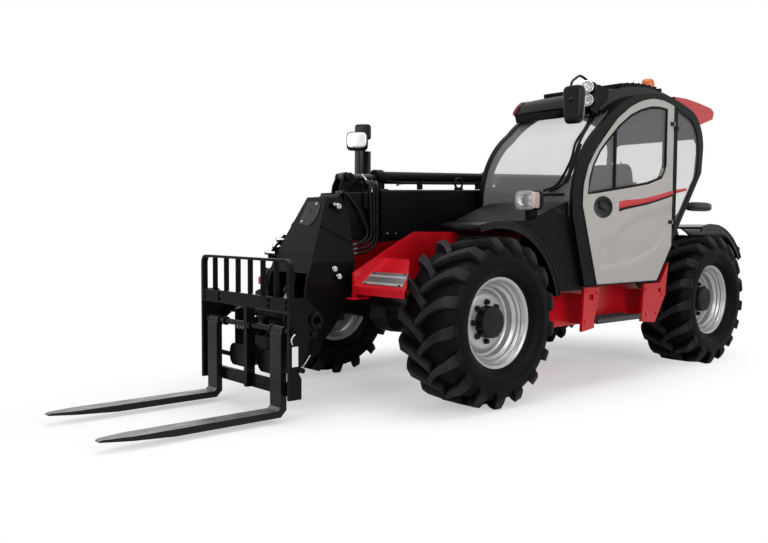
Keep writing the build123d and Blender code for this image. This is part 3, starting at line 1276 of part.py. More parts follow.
with BuildPart() as fork_carriage:
    for sign in (1, -1):
        with BuildSketch(side(sign * (CARRIAGE_HALF_WIDTH - SIDE_PLATE / 2))):
            outline(CARRIAGE_SIDE)
        extrude(amount=SIDE_PLATE / 2, both=True)
    with BuildSketch(side(0)):
        with Locations(HOOK_TUBE):
            Circle(HOOK_TUBE_RADIUS)
        with Locations(FORK_SHAFT):
            Circle(FORK_SHAFT_RADIUS)
    extrude(amount=CARRIAGE_HALF_WIDTH, both=True)
    with BuildSketch(side(0)):
        with Locations(HOOK_TUBE):
            Circle(22)
    extrude(amount=CARRIAGE_HALF_WIDTH + 5, both=True, mode=Mode.SUBTRACT)
    across = (-CARRIAGE_HALF_WIDTH, CARRIAGE_HALF_WIDTH)
    box_between((CARRIAGE_FACE_X - 22, CARRIAGE_FACE_X), across, (740, BEAM_TOP))
    box_between((SHANK_REAR_X - 30, SHANK_REAR_X - SEAT_GAP), across, (174, 262))
    box_between((SHANK_REAR_X - 30, CARRIAGE_FACE_X - 8), (10, 50), (174, 780))
save(fork_carriage.part, "fork_carriage")

BACKREST_TOP = 1085
BACKREST_DEPTH = 40
FRAME_WIDTH = 30
# each bar's thickness across the machine and its depth
BAR = (14, 36)
BAR_COUNT = 6
BAR_PITCH = 2 * CARRIAGE_HALF_WIDTH / 7.2
with BuildPart() as load_backrest:
    with BuildSketch(front(CARRIAGE_FACE_X - BACKREST_DEPTH)):
        with BuildLine():
            Polyline(
                (-CARRIAGE_HALF_WIDTH, 1025), (-CARRIAGE_HALF_WIDTH, BEAM_TOP),
                (CARRIAGE_HALF_WIDTH, BEAM_TOP), (CARRIAGE_HALF_WIDTH, 1025),
            )
            TangentArc((CARRIAGE_HALF_WIDTH, 1025), (CARRIAGE_HALF_WIDTH - 60, BACKREST_TOP), tangent=(0, 1))
            Line((CARRIAGE_HALF_WIDTH - 60, BACKREST_TOP), (60 - CARRIAGE_HALF_WIDTH, BACKREST_TOP))
            TangentArc((60 - CARRIAGE_HALF_WIDTH, BACKREST_TOP), (-CARRIAGE_HALF_WIDTH, 1025), tangent=(-1, 0))
        make_face()
        with BuildLine():
            inner = CARRIAGE_HALF_WIDTH - FRAME_WIDTH
            Polyline((-inner, 1025), (-inner, BEAM_TOP), (inner, BEAM_TOP), (inner, 1025))
            TangentArc((inner, 1025), (inner - 42, BACKREST_TOP - 18), tangent=(0, 1))
            Line((inner - 42, BACKREST_TOP - 18), (42 - inner, BACKREST_TOP - 18))
            TangentArc((42 - inner, BACKREST_TOP - 18), (-inner, 1025), tangent=(-1, 0))
        make_face(mode=Mode.SUBTRACT)
    extrude(amount=BACKREST_DEPTH)
    with BuildSketch(front(CARRIAGE_FACE_X - BAR[1] - 2)):
        with Locations((0, (BEAM_TOP + BACKREST_TOP - 10) / 2)):
            with GridLocations(BAR_PITCH, 0, BAR_COUNT, 1):
                Rectangle(BAR[0], BACKREST_TOP - 10 - BEAM_TOP)
    extrude(amount=BAR[1])
save(load_backrest.part, "load_backrest")

# Forks: a forged L that hangs on the fork shaft by its eye, with a tapering blade
FORK_WIDTH = 132
FORK_HEEL = 83
FORK_EYE_RADIUS = 30
FORK_TIP_X = CARRIAGE_FACE_X + FORK_LENGTH
for fork_name, sign in (("fork_left", 1), ("fork_right", -1)):
    with BuildPart() as fork:
        with BuildSketch(side(sign * FORK_SPACING / 2)):
            with BuildLine():
                Polyline(
                    (SHANK_REAR_X, FORK_SHAFT[1]), (SHANK_REAR_X, FORK_HEEL),
                    (SHANK_REAR_X + 45, FORK_HEEL - 45), (FORK_TIP_X - 450, FORK_HEEL - 45),
                    (FORK_TIP_X, FORK_HEEL - 14), (FORK_TIP_X, FORK_HEEL - 6), (FORK_TIP_X - 20, FORK_HEEL),
                    (CARRIAGE_FACE_X + 20, FORK_HEEL), (CARRIAGE_FACE_X, FORK_HEEL + 20),
                    (CARRIAGE_FACE_X, FORK_SHAFT[1] - 24), (CARRIAGE_FACE_X - 18, FORK_SHAFT[1]),
                    (SHANK_REAR_X, FORK_SHAFT[1]),
                )
            make_face()
            with Locations(FORK_SHAFT):
                Circle(FORK_EYE_RADIUS)
                Circle(FORK_SHAFT_RADIUS + SEAT_GAP, mode=Mode.SUBTRACT)
        extrude(amount=FORK_WIDTH / 2, both=True)
        # the blade narrows to a blunt tip
        with BuildSketch(level(0)):
            for edge in (1, -1):
                outline((
                    (FORK_TIP_X - 180, sign * FORK_SPACING / 2 + edge * FORK_WIDTH / 2),
                    (FORK_TIP_X, sign * FORK_SPACING / 2 + edge * 30),
                    (FORK_TIP_X + 5, sign * FORK_SPACING / 2 + edge * (FORK_WIDTH / 2 + 5)),
                    (FORK_TIP_X - 180, sign * FORK_SPACING / 2 + edge * (FORK_WIDTH / 2 + 5)),
                ))
        extrude(amount=FORK_HEEL + 10, mode=Mode.SUBTRACT)
    save(fork.part, fork_name)
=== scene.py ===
import bmesh
import bpy
import numpy as np
from math import cos, pi, radians, sin
from mathutils import Matrix, Vector


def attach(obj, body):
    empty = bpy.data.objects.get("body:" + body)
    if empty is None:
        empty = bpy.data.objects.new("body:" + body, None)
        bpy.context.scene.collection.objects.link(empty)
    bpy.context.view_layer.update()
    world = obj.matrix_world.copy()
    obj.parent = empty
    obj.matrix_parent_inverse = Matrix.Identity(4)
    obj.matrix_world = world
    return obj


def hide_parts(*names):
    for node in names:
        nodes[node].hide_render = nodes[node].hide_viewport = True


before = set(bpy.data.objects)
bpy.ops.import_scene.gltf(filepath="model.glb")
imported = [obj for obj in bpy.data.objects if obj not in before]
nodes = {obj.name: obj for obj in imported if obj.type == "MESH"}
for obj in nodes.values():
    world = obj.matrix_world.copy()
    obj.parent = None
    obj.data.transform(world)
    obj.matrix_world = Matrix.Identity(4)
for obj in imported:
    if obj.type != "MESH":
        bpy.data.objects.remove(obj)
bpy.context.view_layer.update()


# ------------------------------------------------------------------ studio
# A pale seamless floor under broad soft lamps, seen from ahead and to the left
# at the height of the machine's wheel tops. None of it belongs to the machine.

FRONT_AXLE = 0.56  # ahead of the frame's origin, in metres
FOCAL_LENGTH = 804.37 / 768  # in picture widths
CAMERA = (4.3628, 4.8882, 1.2976)  # ahead of the front axle, left and up, in metres
scene = bpy.context.scene
scene.view_settings.view_transform = "Standard"

lens = bpy.data.cameras.new("studio_camera")
lens.sensor_width = 36.0
lens.lens = FOCAL_LENGTH * lens.sensor_width
heading, tilt, roll = radians(-131.0285), radians(-3.1546), radians(0.3453)
ahead = Vector((cos(tilt) * cos(heading), cos(tilt) * sin(heading), sin(tilt)))
level_right = ahead.cross(Vector((0, 0, 1))).normalized()
level_up = level_right.cross(ahead)
right = level_right * cos(roll) + level_up * sin(roll)
up = level_up * cos(roll) - level_right * sin(roll)
camera = bpy.data.objects.new("studio_camera", lens)
scene.collection.objects.link(camera)
camera.matrix_world = Matrix((
    (right.x, up.x, -ahead.x, CAMERA[0] + FRONT_AXLE),
    (right.y, up.y, -ahead.y, CAMERA[1]),
    (right.z, up.z, -ahead.z, CAMERA[2]),
    (0, 0, 0, 1)))
scene.camera = camera


def linear(hex_colour):
    """An sRGB hex colour as linear light: c / 12.92 up to 0.04045, above that
    ((c + 0.055) / 1.055) to the power 2.4."""
    value = np.array([int(hex_colour[i:i + 2], 16) for i in (1, 3, 5)]) / 255
    value = np.where(value <= 0.04045, value / 12.92, ((value + 0.055) / 1.055) ** 2.4)
    return (*value.tolist(), 1.0)


def new_finish(name):
    """An empty material of that name."""
    finish = bpy.data.materials.new(name)
    finish.use_nodes = True
    finish.node_tree.nodes.clear()
    return finish


def add_node(owner, kind, inputs=None, **settings):
    """Adds one shader node. settings are its own properties, and inputs gives each
    named socket a constant or another node's output."""
    tree = owner.node_tree
    node = tree.nodes.new("ShaderNode" + kind)
    for name, value in settings.items():
        setattr(node, name, value)
    for name, value in (inputs or {}).items():
        if isinstance(value, bpy.types.NodeSocket):
            tree.links.new(value, node.inputs[name])
        else:
            node.inputs[name].default_value = value
    return node


# Painted studio floor: matt white, so that only soft shadows show on it. Outside
# an oval round the machine the camera sees plain white, to meet the white behind.
floor_paint = new_finish("matt_white_floor_paint")
path = add_node(floor_paint, "LightPath")
place = add_node(floor_paint, "TexCoord")
stretched = add_node(floor_paint, "Mapping", {"Vector": place.outputs["Object"], "Scale": (0.42, 1.0, 1.0)})
away = add_node(floor_paint, "VectorMath", {0: stretched.outputs[0]}, operation="LENGTH")
fade = add_node(floor_paint, "MapRange", {
    "Value": away.outputs["Value"], "From Min": 0.9, "From Max": 2.0, "To Min": 0.45, "To Max": 1.0},
    interpolation_type="SMOOTHSTEP")
seen = add_node(floor_paint, "Math", {0: path.outputs["Is Camera Ray"], 1: fade.outputs[0]},
                operation="MULTIPLY")
matt = add_node(floor_paint, "BsdfDiffuse", {"Color": linear("#f7f7f6"), "Roughness": 0.0})
glow = add_node(floor_paint, "Emission", {"Color": (1, 1, 1, 1), "Strength": 1.0})
both = add_node(floor_paint, "MixShader", {0: seen.outputs[0], 1: matt.outputs[0], 2: glow.outputs[0]})
add_node(floor_paint, "OutputMaterial", {"Surface": both.outputs[0]})

reach = 60.0  # of the floor, from its middle to an edge
floor_mesh = bpy.data.meshes.new("studio_floor")
floor_mesh.from_pydata(
    [(-reach, -reach, 0), (reach, -reach, 0), (reach, reach, 0), (-reach, reach, 0)], [], [(0, 1, 2, 3)])
floor_mesh.materials.append(floor_paint)
floor = bpy.data.objects.new("studio_floor", floor_mesh)
scene.collection.objects.link(floor)

# White surroundings: the camera, glossy surfaces and glass see plain white,
# while the light that they give is softer.
room = bpy.data.worlds.new("studio_room")
room.use_nodes = True
room.node_tree.nodes.clear()
path = add_node(room, "LightPath")
mirror_like = add_node(room, "Math", {0: path.outputs["Is Camera Ray"], 1: path.outputs["Is Glossy Ray"]},
                       operation="MAXIMUM")
plain = add_node(room, "Math", {0: mirror_like.outputs[0], 1: path.outputs["Is Transmission Ray"]},
                 operation="MAXIMUM")
strength = add_node(room, "MapRange", {"Value": plain.outputs[0], "To Min": 0.36, "To Max": 1.0})
white = add_node(room, "Background", {"Color": (1, 1, 1, 1), "Strength": strength.outputs[0]})
add_node(room, "OutputWorld", {"Surface": white.outputs[0]})
scene.world = room

# name, place, what it points at, width, height, watts
LAMPS = (
    ("lamp_overhead", (0.5, 1.0, 7.5), (0.0, 0.2, 0.0), 7.0, 5.0, 330),
    ("lamp_left", (1.0, 8.5, 4.5), (-0.4, 0.6, 1.0), 6.0, 4.0, 290),
    ("lamp_ahead", (8.5, 1.5, 3.6), (0.8, 0.0, 0.9), 4.0, 4.0, 180),
)
for name, place, target, width, height, watts in LAMPS:
    light = bpy.data.lights.new(name, "AREA")
    light.shape = "RECTANGLE"
    light.size = width
    light.size_y = height
    light.energy = watts
    lamp = bpy.data.objects.new(name, light)
    scene.collection.objects.link(lamp)
    lamp.location = place
    lamp.rotation_euler = (Vector(target) - Vector(place)).to_track_quat("-Z", "Y").to_euler()


# ------------------------------------------------------------------- tyres
# Radial farm tyres for soft ground: a thin rounded carcass with deep straight
# lugs that cross the tread and turn down over its shoulders. Moulded in one
# piece, the lugs of one side half a step behind the other's.

AXLE_HEIGHT = 0.62
WHEEL_OUT = 0.935
WHEELBASE = 3.07
# name of wheel, its centre, the side it faces
WHEELS = [
    (end + "_" + hand, np.array([FRONT_AXLE + x, side * WHEEL_OUT, AXLE_HEIGHT]), side)
    for end, x in (("front", 0.0), ("rear", -WHEELBASE)) for hand, side in (("left", 1), ("right", -1))]


def shell(name, grids, finish, smooth_below=35, bevel=0.0):
    """One mesh from grids of points, each an array of (copies, rows, columns, 3)
    with three flags: rows closed into a ring, columns closed, and both end rows
    capped. Points within 10 um are merged and faces turned outward."""
    vertices, faces, start = [], [], 0
    for points, rows_closed, columns_closed, capped in grids:
        points = np.asarray(points, float)
        if points.ndim == 3:
            points = points[None]
        copies, rows, columns, _ = points.shape
        index = np.arange(copies * rows * columns).reshape(copies, rows, columns) + start
        ring = np.concatenate([index, index[:, :1]], 1) if rows_closed else index
        ring = np.concatenate([ring, ring[:, :, :1]], 2) if columns_closed else ring
        quads = np.stack([ring[:, :-1, :-1], ring[:, :-1, 1:], ring[:, 1:, 1:], ring[:, 1:, :-1]], -1)
        faces += quads.reshape(-1, 4).tolist()
        if capped:
            faces += index[:, 0].tolist() + index[:, -1].tolist()
        vertices.append(points.reshape(-1, 3))
        start += copies * rows * columns
    mesh = bpy.data.meshes.new(name)
    mesh.from_pydata(np.concatenate(vertices).tolist(), [], faces)
    work = bmesh.new()
    work.from_mesh(mesh)
    bmesh.ops.remove_doubles(work, verts=work.verts, dist=1e-5)
    bmesh.ops.dissolve_degenerate(work, edges=work.edges, dist=1e-6)
    bmesh.ops.recalc_face_normals(work, faces=work.faces)
    work.to_mesh(mesh)
    work.free()
    mesh.materials.append(finish)
    mesh.shade_smooth()
    mesh.set_sharp_from_angle(angle=radians(smooth_below))
    piece = bpy.data.objects.new(name, mesh)
    scene.collection.objects.link(piece)
    if bevel:
        rounding = piece.modifiers.new("rounded_edges", "BEVEL")
        rounding.width = bevel
        rounding.segments = 2
        rounding.limit_method = "ANGLE"
        rounding.angle_limit = radians(30)
    return piece


def turned(profile, centre, axis=(0, 1, 0), segments=96):
    """A profile of (along the axis, radius) turned about an axis through centre:
    point = centre + along * axis + radius * (cos t * side + sin t * top)."""
    profile = np.asarray(profile, float)
    axis = np.asarray(axis, float) / np.linalg.norm(axis)
    side = np.cross(axis, (0, 0, 1)) if abs(axis[2]) < 0.9 else np.cross(axis, (0, 1, 0))
    side = side / np.linalg.norm(side)
    top = np.cross(side, axis)
    angle = np.arange(segments)[:, None, None] * 2 * pi / segments
    along, radius = profile[None, :, :1], profile[None, :, 1:]
    return np.asarray(centre) + along * axis + radius * (np.cos(angle) * side + np.sin(angle) * top)


def lofted(rings):
    """Closed outlines one behind the other as a grid for shell, capped at both ends."""
    return rings, False, True, True


def spun(profile, centre, axis=(0, 1, 0), segments=96, closed=False):
    """A turned profile as a grid for shell, with its two ends joined where closed."""
    return turned(profile, centre, axis, segments), True, closed, False


# Filled natural rubber: near black and dull, with a fine moulded grain. The lugs' tops are painted paler in
# patches: a painted highlight where they face the lamps.
rubber = new_finish("moulded_tyre_rubber")
place = add_node(rubber, "TexCoord")
lug_top = add_node(rubber, "Attribute", attribute_name="lug_top")
cloud = add_node(rubber, "TexNoise", {"Vector": place.outputs["Object"], "Scale": 9.0, "Detail": 5.0})
grain = add_node(rubber, "TexNoise", {"Vector": place.outputs["Object"], "Scale": 260.0, "Detail": 3.0})
# painted highlight on the lug tops, broken into patches
lug_top_highlight = add_node(rubber, "Math", {0: lug_top.outputs["Fac"], 1: cloud.outputs["Fac"]},
                   operation="MULTIPLY")
tone = add_node(rubber, "Mix", {
    "Factor": lug_top_highlight.outputs[0], "A": linear("#020202"), "B": linear("#343436")}, data_type="RGBA")
dull = add_node(rubber, "MapRange", {"Value": cloud.outputs["Fac"], "To Min": 0.42, "To Max": 0.62})
relief = add_node(rubber, "Bump", {"Height": grain.outputs["Fac"], "Strength": 0.3, "Distance": 0.001})
skin = add_node(rubber, "BsdfPrincipled", {
    "Base Color": tone.outputs["Result"], "Roughness": dull.outputs["Result"],
    "Normal": relief.outputs["Normal"], "IOR": 1.5, "Specular IOR Level": 0.08})
add_node(rubber, "OutputMaterial", {"Surface": skin.outputs[0]})

LUGS = 17
# along a lug: its top's distance out and radius, its foot's, the degrees it trails by, half its width
LUG = np.array([
    (-0.034, 0.6185, -0.034, 0.560, 2.3, 0.024),
    (0.000, 0.6200, 0.000, 0.560, 5.3, 0.026),
    (0.050, 0.6200, 0.050, 0.560, 9.4, 0.028),
    (0.100, 0.6196, 0.100, 0.559, 12.7, 0.030),
    (0.150, 0.6190, 0.150, 0.556, 15.4, 0.032),
    (0.205, 0.6170, 0.200, 0.548, 17.6, 0.035),
    (0.211, 0.6130, 0.205, 0.543, 17.9, 0.036),
    (0.236, 0.5790, 0.224, 0.527, 18.8, 0.042),
    (0.256, 0.5420, 0.237, 0.508, 19.6, 0.047),
    (0.2600, 0.5260, 0.246, 0.496, 20.1, 0.049),
    (0.2575, 0.5050, 0.2525, 0.480, 20.6, 0.046)])
# across a lug: half widths from its middle, share of its height
LUG_SECTION = np.array([(-1.26, -0.05), (-1.0, 0.95), (-0.92, 1.0), (0.92, 1.0), (1.0, 0.95), (1.26, -0.05)])
CARCASS = np.array([
    (-0.004, 0.566), (0.100, 0.565), (0.150, 0.562), (0.186, 0.556), (0.208, 0.548), (0.224, 0.536),
    (0.238, 0.518), (0.249, 0.494), (0.2565, 0.466), (0.2585, 0.440), (0.2565, 0.419), (0.2535, 0.4175),
    (0.2530, 0.4130), (0.2545, 0.4110), (0.2500, 0.393), (0.2400, 0.375), (0.2260, 0.360), (0.2140, 0.3515),
    (0.2100, 0.3500), (0.2060, 0.3480), (0.2000, 0.3400), (0.1920, 0.3350), (0.1810, 0.3340),
    (0.1800, 0.3065), (0.1650, 0.3050)])
LINER = np.array([(0.150, 0.318), (0.155, 0.345), (0.225, 0.40), (0.235, 0.47), (0.17, 0.53)])

for wheel, centre, side in WHEELS:
    grids = []
    for half in (1, -1):
        rise = LUG_SECTION[None, :, 1]
        out = LUG[:, None, 2] + (LUG[:, None, 0] - LUG[:, None, 2]) * rise
        radius = LUG[:, None, 3] + (LUG[:, None, 1] - LUG[:, None, 3]) * rise
        trail = np.radians(LUG[:, None, 4]) + LUG[:, None, 5] * LUG_SECTION[:, 0] / 0.60
        start = (np.arange(LUGS) + (0.5 if half < 0 else 0)) * 2 * pi / LUGS
        angle = start[:, None, None] + trail[None]
        grids.append(lofted(centre + np.stack([
            radius * np.cos(angle), half * out * np.ones_like(angle), radius * np.sin(angle)], -1)))
    outside = np.concatenate([CARCASS[::-1] * (-1, 1), CARCASS[1:]])
    inside = np.concatenate([LINER, LINER[::-1] * (-1, 1)])
    grids.append(spun(np.concatenate([outside, inside]), centre, segments=120, closed=True))
    tyre = shell("lugged_tyre_" + wheel, grids, rubber, 26)
    spots = np.empty(3 * len(tyre.data.vertices))
    tyre.data.vertices.foreach_get("co", spots)
    spots = spots.reshape(-1, 3) - centre
    # lug_top: 0 on the carcass to 1 on the lug tops, where the rubber is painted paler as a highlight
    reach_out = np.hypot(spots[:, 0], spots[:, 2]) + 0.9 * np.maximum(np.abs(spots[:, 1]) - 0.205, 0)
    lug_top = tyre.data.attributes.new("lug_top", "FLOAT", "POINT")
    lug_top.data.foreach_set("value", np.clip((reach_out - 0.572) / 0.03, 0, 1))
    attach(tyre, "wheel_" + wheel)
    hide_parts("tyre_" + wheel)


# ------------------------------------------------------------ rims and hubs
# Rolled steel rims, sprayed silver, with stepped bead seats and a pressed disc
# set deep behind them. The planetary hub's black drum stands through the disc,
# which eight wheel nuts hold to it.

# Silver wheel paint over rolled steel: fine metal flake under a thin clear coat.
silver = new_finish("sprayed_silver_rim_paint")
place = add_node(silver, "TexCoord")
cloud = add_node(silver, "TexNoise", {"Vector": place.outputs["Object"], "Scale": 6.0, "Detail": 3.0})
flake = add_node(silver, "TexNoise", {"Vector": place.outputs["Object"], "Scale": 700.0, "Detail": 1.0})
tone = add_node(silver, "Mix", {
    "Factor": cloud.outputs["Fac"], "A": linear("#9d9e9f"), "B": linear("#b3b4b4")}, data_type="RGBA")
relief = add_node(silver, "Bump", {"Height": flake.outputs["Fac"], "Strength": 0.12, "Distance": 0.0004})
skin = add_node(silver, "BsdfPrincipled", {
    "Base Color": tone.outputs["Result"], "Metallic": 0.6, "Roughness": 0.32,
    "Normal": relief.outputs["Normal"], "Coat Weight": 0.2, "Coat Roughness": 0.12})
add_node(silver, "OutputMaterial", {"Surface": skin.outputs[0]})


def textured(name, kind, sockets, tones, rough, bump, skin, read="Fac", **settings):
    """A finish ruled by one texture in the object's own coordinates, read at one of
    its outputs. The value mixes two tones, sets the roughness between two values and
    makes the relief, a bump of a strength and a depth in metres. One tone or one
    roughness stays even, no bump stays smooth. skin is the shader's other sockets."""
    finish = new_finish(name)
    place = add_node(finish, "TexCoord")
    texture = add_node(finish, kind, {"Vector": place.outputs["Object"], **sockets}, **settings)
    value = texture.outputs[read]
    surface = {"Base Color": linear(tones[0]), "Roughness": rough[0], **skin}
    if len(tones) > 1:
        tone = add_node(finish, "Mix", {
            "Factor": value, "A": linear(tones[0]), "B": linear(tones[1])}, data_type="RGBA")
        surface["Base Color"] = tone.outputs["Result"]
    if len(rough) > 1:
        dull = add_node(finish, "MapRange", {"Value": value, "To Min": rough[0], "To Max": rough[1]})
        surface["Roughness"] = dull.outputs["Result"]
    if bump:
        relief = add_node(finish, "Bump", {"Height": value, "Strength": bump[0], "Distance": bump[1]})
        surface["Normal"] = relief.outputs["Normal"]
    shader = add_node(finish, "BsdfPrincipled", surface)
    add_node(finish, "OutputMaterial", {"Surface": shader.outputs[0]})
    return finish


# Black enamel on the cast drum and nuts: satin, with the sand mould's grain.
hub_black = textured("satin_black_cast_hub", "TexNoise", {"Scale": 160.0, "Detail": 3.0},
                     ("#0c0c0d", "#1a1a1b"), (0.40,), (0.25, 0.0007), {"Specular IOR Level": 0.16})

# outboard of the wheel's middle plane and radius: the flange's lip, down the stepped seat to the well,
# then the inner flange and back along the side that the tyre seats on
RIM = np.array([
    (0.1870, 0.3300), (0.1900, 0.3288), (0.1908, 0.3255), (0.1890, 0.3190), (0.1835, 0.3105),
    (0.1760, 0.3030), (0.1670, 0.2985), (0.1600, 0.2965), (0.1565, 0.2925), (0.1530, 0.2920),
    (0.1500, 0.2955), (0.1440, 0.2955), (0.1395, 0.2895), (0.1330, 0.2840), (0.1290, 0.2800),
    (0.1240, 0.2805), (0.1180, 0.2800), (0.1100, 0.2740), (0.1030, 0.2640), (0.0960, 0.2545),
    (0.0780, 0.2525), (-0.100, 0.2525), (-0.125, 0.270), (-0.140, 0.2955), (-0.182, 0.2965),
    (-0.1895, 0.3255), (-0.187, 0.330), (-0.181, 0.330), (-0.179, 0.3045), (-0.135, 0.3045),
    (-0.118, 0.262), (0.088, 0.262), (0.118, 0.290), (0.142, 0.3045), (0.179, 0.3045), (0.181, 0.330)])
DISC = np.array([
    (0.048, 0.253), (0.042, 0.246), (0.040, 0.236), (0.047, 0.224), (0.060, 0.208), (0.067, 0.196),
    (0.0685, 0.186), (0.0685, 0.112), (0.053, 0.112), (0.053, 0.190), (0.040, 0.212), (0.026, 0.236),
    (0.026, 0.253)])
HUB = np.array([
    (0.055, 0.0), (0.055, 0.119), (0.074, 0.1185), (0.0755, 0.1165), (0.136, 0.1145), (0.143, 0.109),
    (0.1455, 0.102), (0.1455, 0.007), (0.1435, 0.006), (0.1435, 0.0)])
NUTS = 8
NUT_CIRCLE = 0.1425
NUT = np.array([
    (0.068, 0.0), (0.068, 0.0245), (0.0715, 0.0245), (0.0725, 0.0205), (0.0900, 0.0200), (0.0925, 0.0175),
    (0.0925, 0.0105), (0.0990, 0.0095), (0.0990, 0.0)])

for wheel, centre, side in WHEELS:
    outward = np.array([0, side, 0])
    rim = shell("stepped_rim_" + wheel, [
        spun(RIM, centre, outward, closed=True),
        spun(DISC, centre, outward, closed=True)], silver, 40)
    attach(rim, "wheel_" + wheel)
    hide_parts("rim_" + wheel)
    step = np.arange(NUTS) * 2 * pi / NUTS
    around = np.stack([np.cos(step), 0 * step, np.sin(step)], -1) * NUT_CIRCLE
    nuts = turned(NUT, (0, 0, 0), outward, 6) + (centre + around)[:, None, None]
    hub = shell("planetary_hub_" + wheel, [
        spun(HUB, centre, outward, 72),
        (nuts, True, False, False)], hub_black, 30)
    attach(hub, "wheel_" + wheel)


# ------------------------------------------------- chassis, shelves, fuel tank
# Two thick side plates welded into a ladder, with folded shelves bolted in front
# of the wheels and a boxed carrier under the cab. All sprayed bright red.

def row(points):
    """Millimetres (ahead of the front axle, left, up) as metres in the row's frame."""
    return np.asarray(points, float) / 1000 + (FRONT_AXLE, 0, 0)


def grained(name, light, dark, roughness, drift, spread, grain, skin):
    """A finish that drifts between two tones in patches, duller where it is lighter,
    over a fine grain. drift is the patches' noise scale and detail, spread how far
    the roughness goes down and up, and grain the grain's noise scale and strength."""
    finish = new_finish(name)
    place = add_node(finish, "TexCoord")
    patches = add_node(finish, "TexNoise", {
        "Vector": place.outputs["Object"], "Scale": drift[0], "Detail": drift[1]})
    fine = add_node(finish, "TexNoise", {
        "Vector": place.outputs["Object"], "Scale": grain[0], "Detail": 2.0})
    tone = add_node(finish, "Mix", {
        "Factor": patches.outputs["Fac"], "A": linear(dark), "B": linear(light)}, data_type="RGBA")
    dull = add_node(finish, "MapRange", {
        "Value": patches.outputs["Fac"], "To Min": roughness - spread[0], "To Max": roughness + spread[1]})
    relief = add_node(finish, "Bump", {
        "Height": fine.outputs["Fac"], "Strength": grain[1], "Distance": 0.0006})
    shader = add_node(finish, "BsdfPrincipled", {
        "Base Color": tone.outputs["Result"], "Roughness": dull.outputs["Result"],
        "Normal": relief.outputs["Normal"], **skin})
    add_node(finish, "OutputMaterial", {"Surface": shader.outputs[0]})
    return finish


def sprayed_paint(name, light, dark, roughness, specular=0.5, lacquer=0.0, peel=0.25):
    """Paint sprayed on steel: it drifts between two tones over about 250 mm, has
    the orange peel of a spray gun, about 3 mm across, and duller patches of dust."""
    return grained(name, light, dark, roughness, (4.0, 4.0), (0.06, 0.08), (330.0, peel), {
        "Specular IOR Level": specular, "Coat Weight": lacquer, "Coat Roughness": 0.08})


def coat(finish, *names):
    """Gives the CAD nodes of those names that finish."""
    for name in names:
        for slot in nodes[name].material_slots:
            slot.material = finish


def plate(outline, axis, low, high):
    """A flat plate as a grid for shell: a closed outline in the plane square to
    axis 0, 1 or 2, carried from low to high along that axis, in millimetres."""
    outline = np.asarray(outline, float)
    layers = [np.insert(outline, axis, level, axis=1) for level in (low, high)]
    return lofted(row(np.stack(layers)))


def block(x, y, z):
    """A block between three pairs of limits, as a plate."""
    return plate([(x[0], y[0]), (x[1], y[0]), (x[1], y[1]), (x[0], y[1])], 2, *z)


# Two-coat machine enamel in signal red, glossy from its lacquer.
red = sprayed_paint("glossy_signal_red_enamel", "#c00e1c", "#a80a15", 0.28, 0.34, 0.22)
coat(red, "chassis_frame", "front_shelves", "cab_support", "roof_spoiler", "engine_bay")

# Rolled aluminium tread plate, bare: raised bars 50 mm apart, which
# feet keep bright while dust dulls the ground between them.
tread_plate = new_finish("rolled_aluminium_tread_plate")
place = add_node(tread_plate, "TexCoord")
bars = []
for angle in (45, -45):
    rotated = add_node(tread_plate, "Mapping", {
        "Vector": place.outputs["Object"], "Rotation": (0, 0, radians(angle)), "Scale": (20, 60, 20)})
    bars.append(add_node(tread_plate, "TexVoronoi", {
        "Vector": rotated.outputs[0], "Scale": 1.0, "Randomness": 0.0}))
nearest = add_node(tread_plate, "Math", {0: bars[0].outputs["Distance"], 1: bars[1].outputs["Distance"]},
                   operation="MINIMUM")
raised = add_node(tread_plate, "MapRange", {
    "Value": nearest.outputs[0], "From Min": 0.18, "From Max": 0.32, "To Min": 1.0, "To Max": 0.0})
scuff = add_node(tread_plate, "TexNoise", {"Vector": place.outputs["Object"], "Scale": 40.0, "Detail": 4.0})
tone = add_node(tread_plate, "Mix", {
    "Factor": raised.outputs[0], "A": linear("#8d8f91"), "B": linear("#e6e7e8")}, data_type="RGBA")
rough = add_node(tread_plate, "MapRange", {"Value": scuff.outputs["Fac"], "To Min": 0.28, "To Max": 0.5})
relief = add_node(tread_plate, "Bump", {"Height": raised.outputs[0], "Strength": 0.8, "Distance": 0.0015})
skin = add_node(tread_plate, "BsdfPrincipled", {
    "Base Color": tone.outputs["Result"], "Metallic": 1.0, "Roughness": rough.outputs[0],
    "Normal": relief.outputs["Normal"]})
add_node(tread_plate, "OutputMaterial", {"Surface": skin.outputs[0]})


def hex_heads(name, places, outward, finish, across=0.024, height=0.012):
    """Hexagon bolt heads: one turned six-sided profile with a washer under it,
    copied to every place, standing out along outward."""
    half = across / 2
    profile = [(0, 0), (0, half * 1.5), (0.003, half * 1.5), (0.003, half * 1.15),
               (height * 0.85, half * 1.15), (height, half * 0.95), (height, 0)]
    return shell(name, [(turned(profile, (0, 0, 0), outward, 6) + np.asarray(places, float)[:, None, None],
                         True, False, False)], finish, 30)


# Chequer plates screwed on the shelves' slopes, with a screw near each corner.
slope = radians(32.3)
down = np.array([cos(slope), 0, -sin(slope)])
lift = np.array([sin(slope), 0, cos(slope)])
fold = row((722, 0, 870))
for side, name in ((1, "left"), (-1, "right")):
    edge = np.array([(-0.030, 0.430), (-0.030, 0.855), (-0.155, 0.790), (-0.155, 0.400)])
    corners = fold + edge[:, :1] * down / cos(slope) + edge[:, 1:] * (0, side, 0)
    layers = np.stack([corners + lift * 0.0005, corners + lift * 0.004])
    tread = shell("chequer_plate_" + name, [lofted(layers)], tread_plate)
    inset = corners.mean(0) + (corners - corners.mean(0)) * 0.86 + lift * 0.004
    heads = hex_heads("chequer_screws_" + name, inset, lift, hub_black, 0.012, 0.005)
    for piece in (tread, heads):
        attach(piece, "chassis")

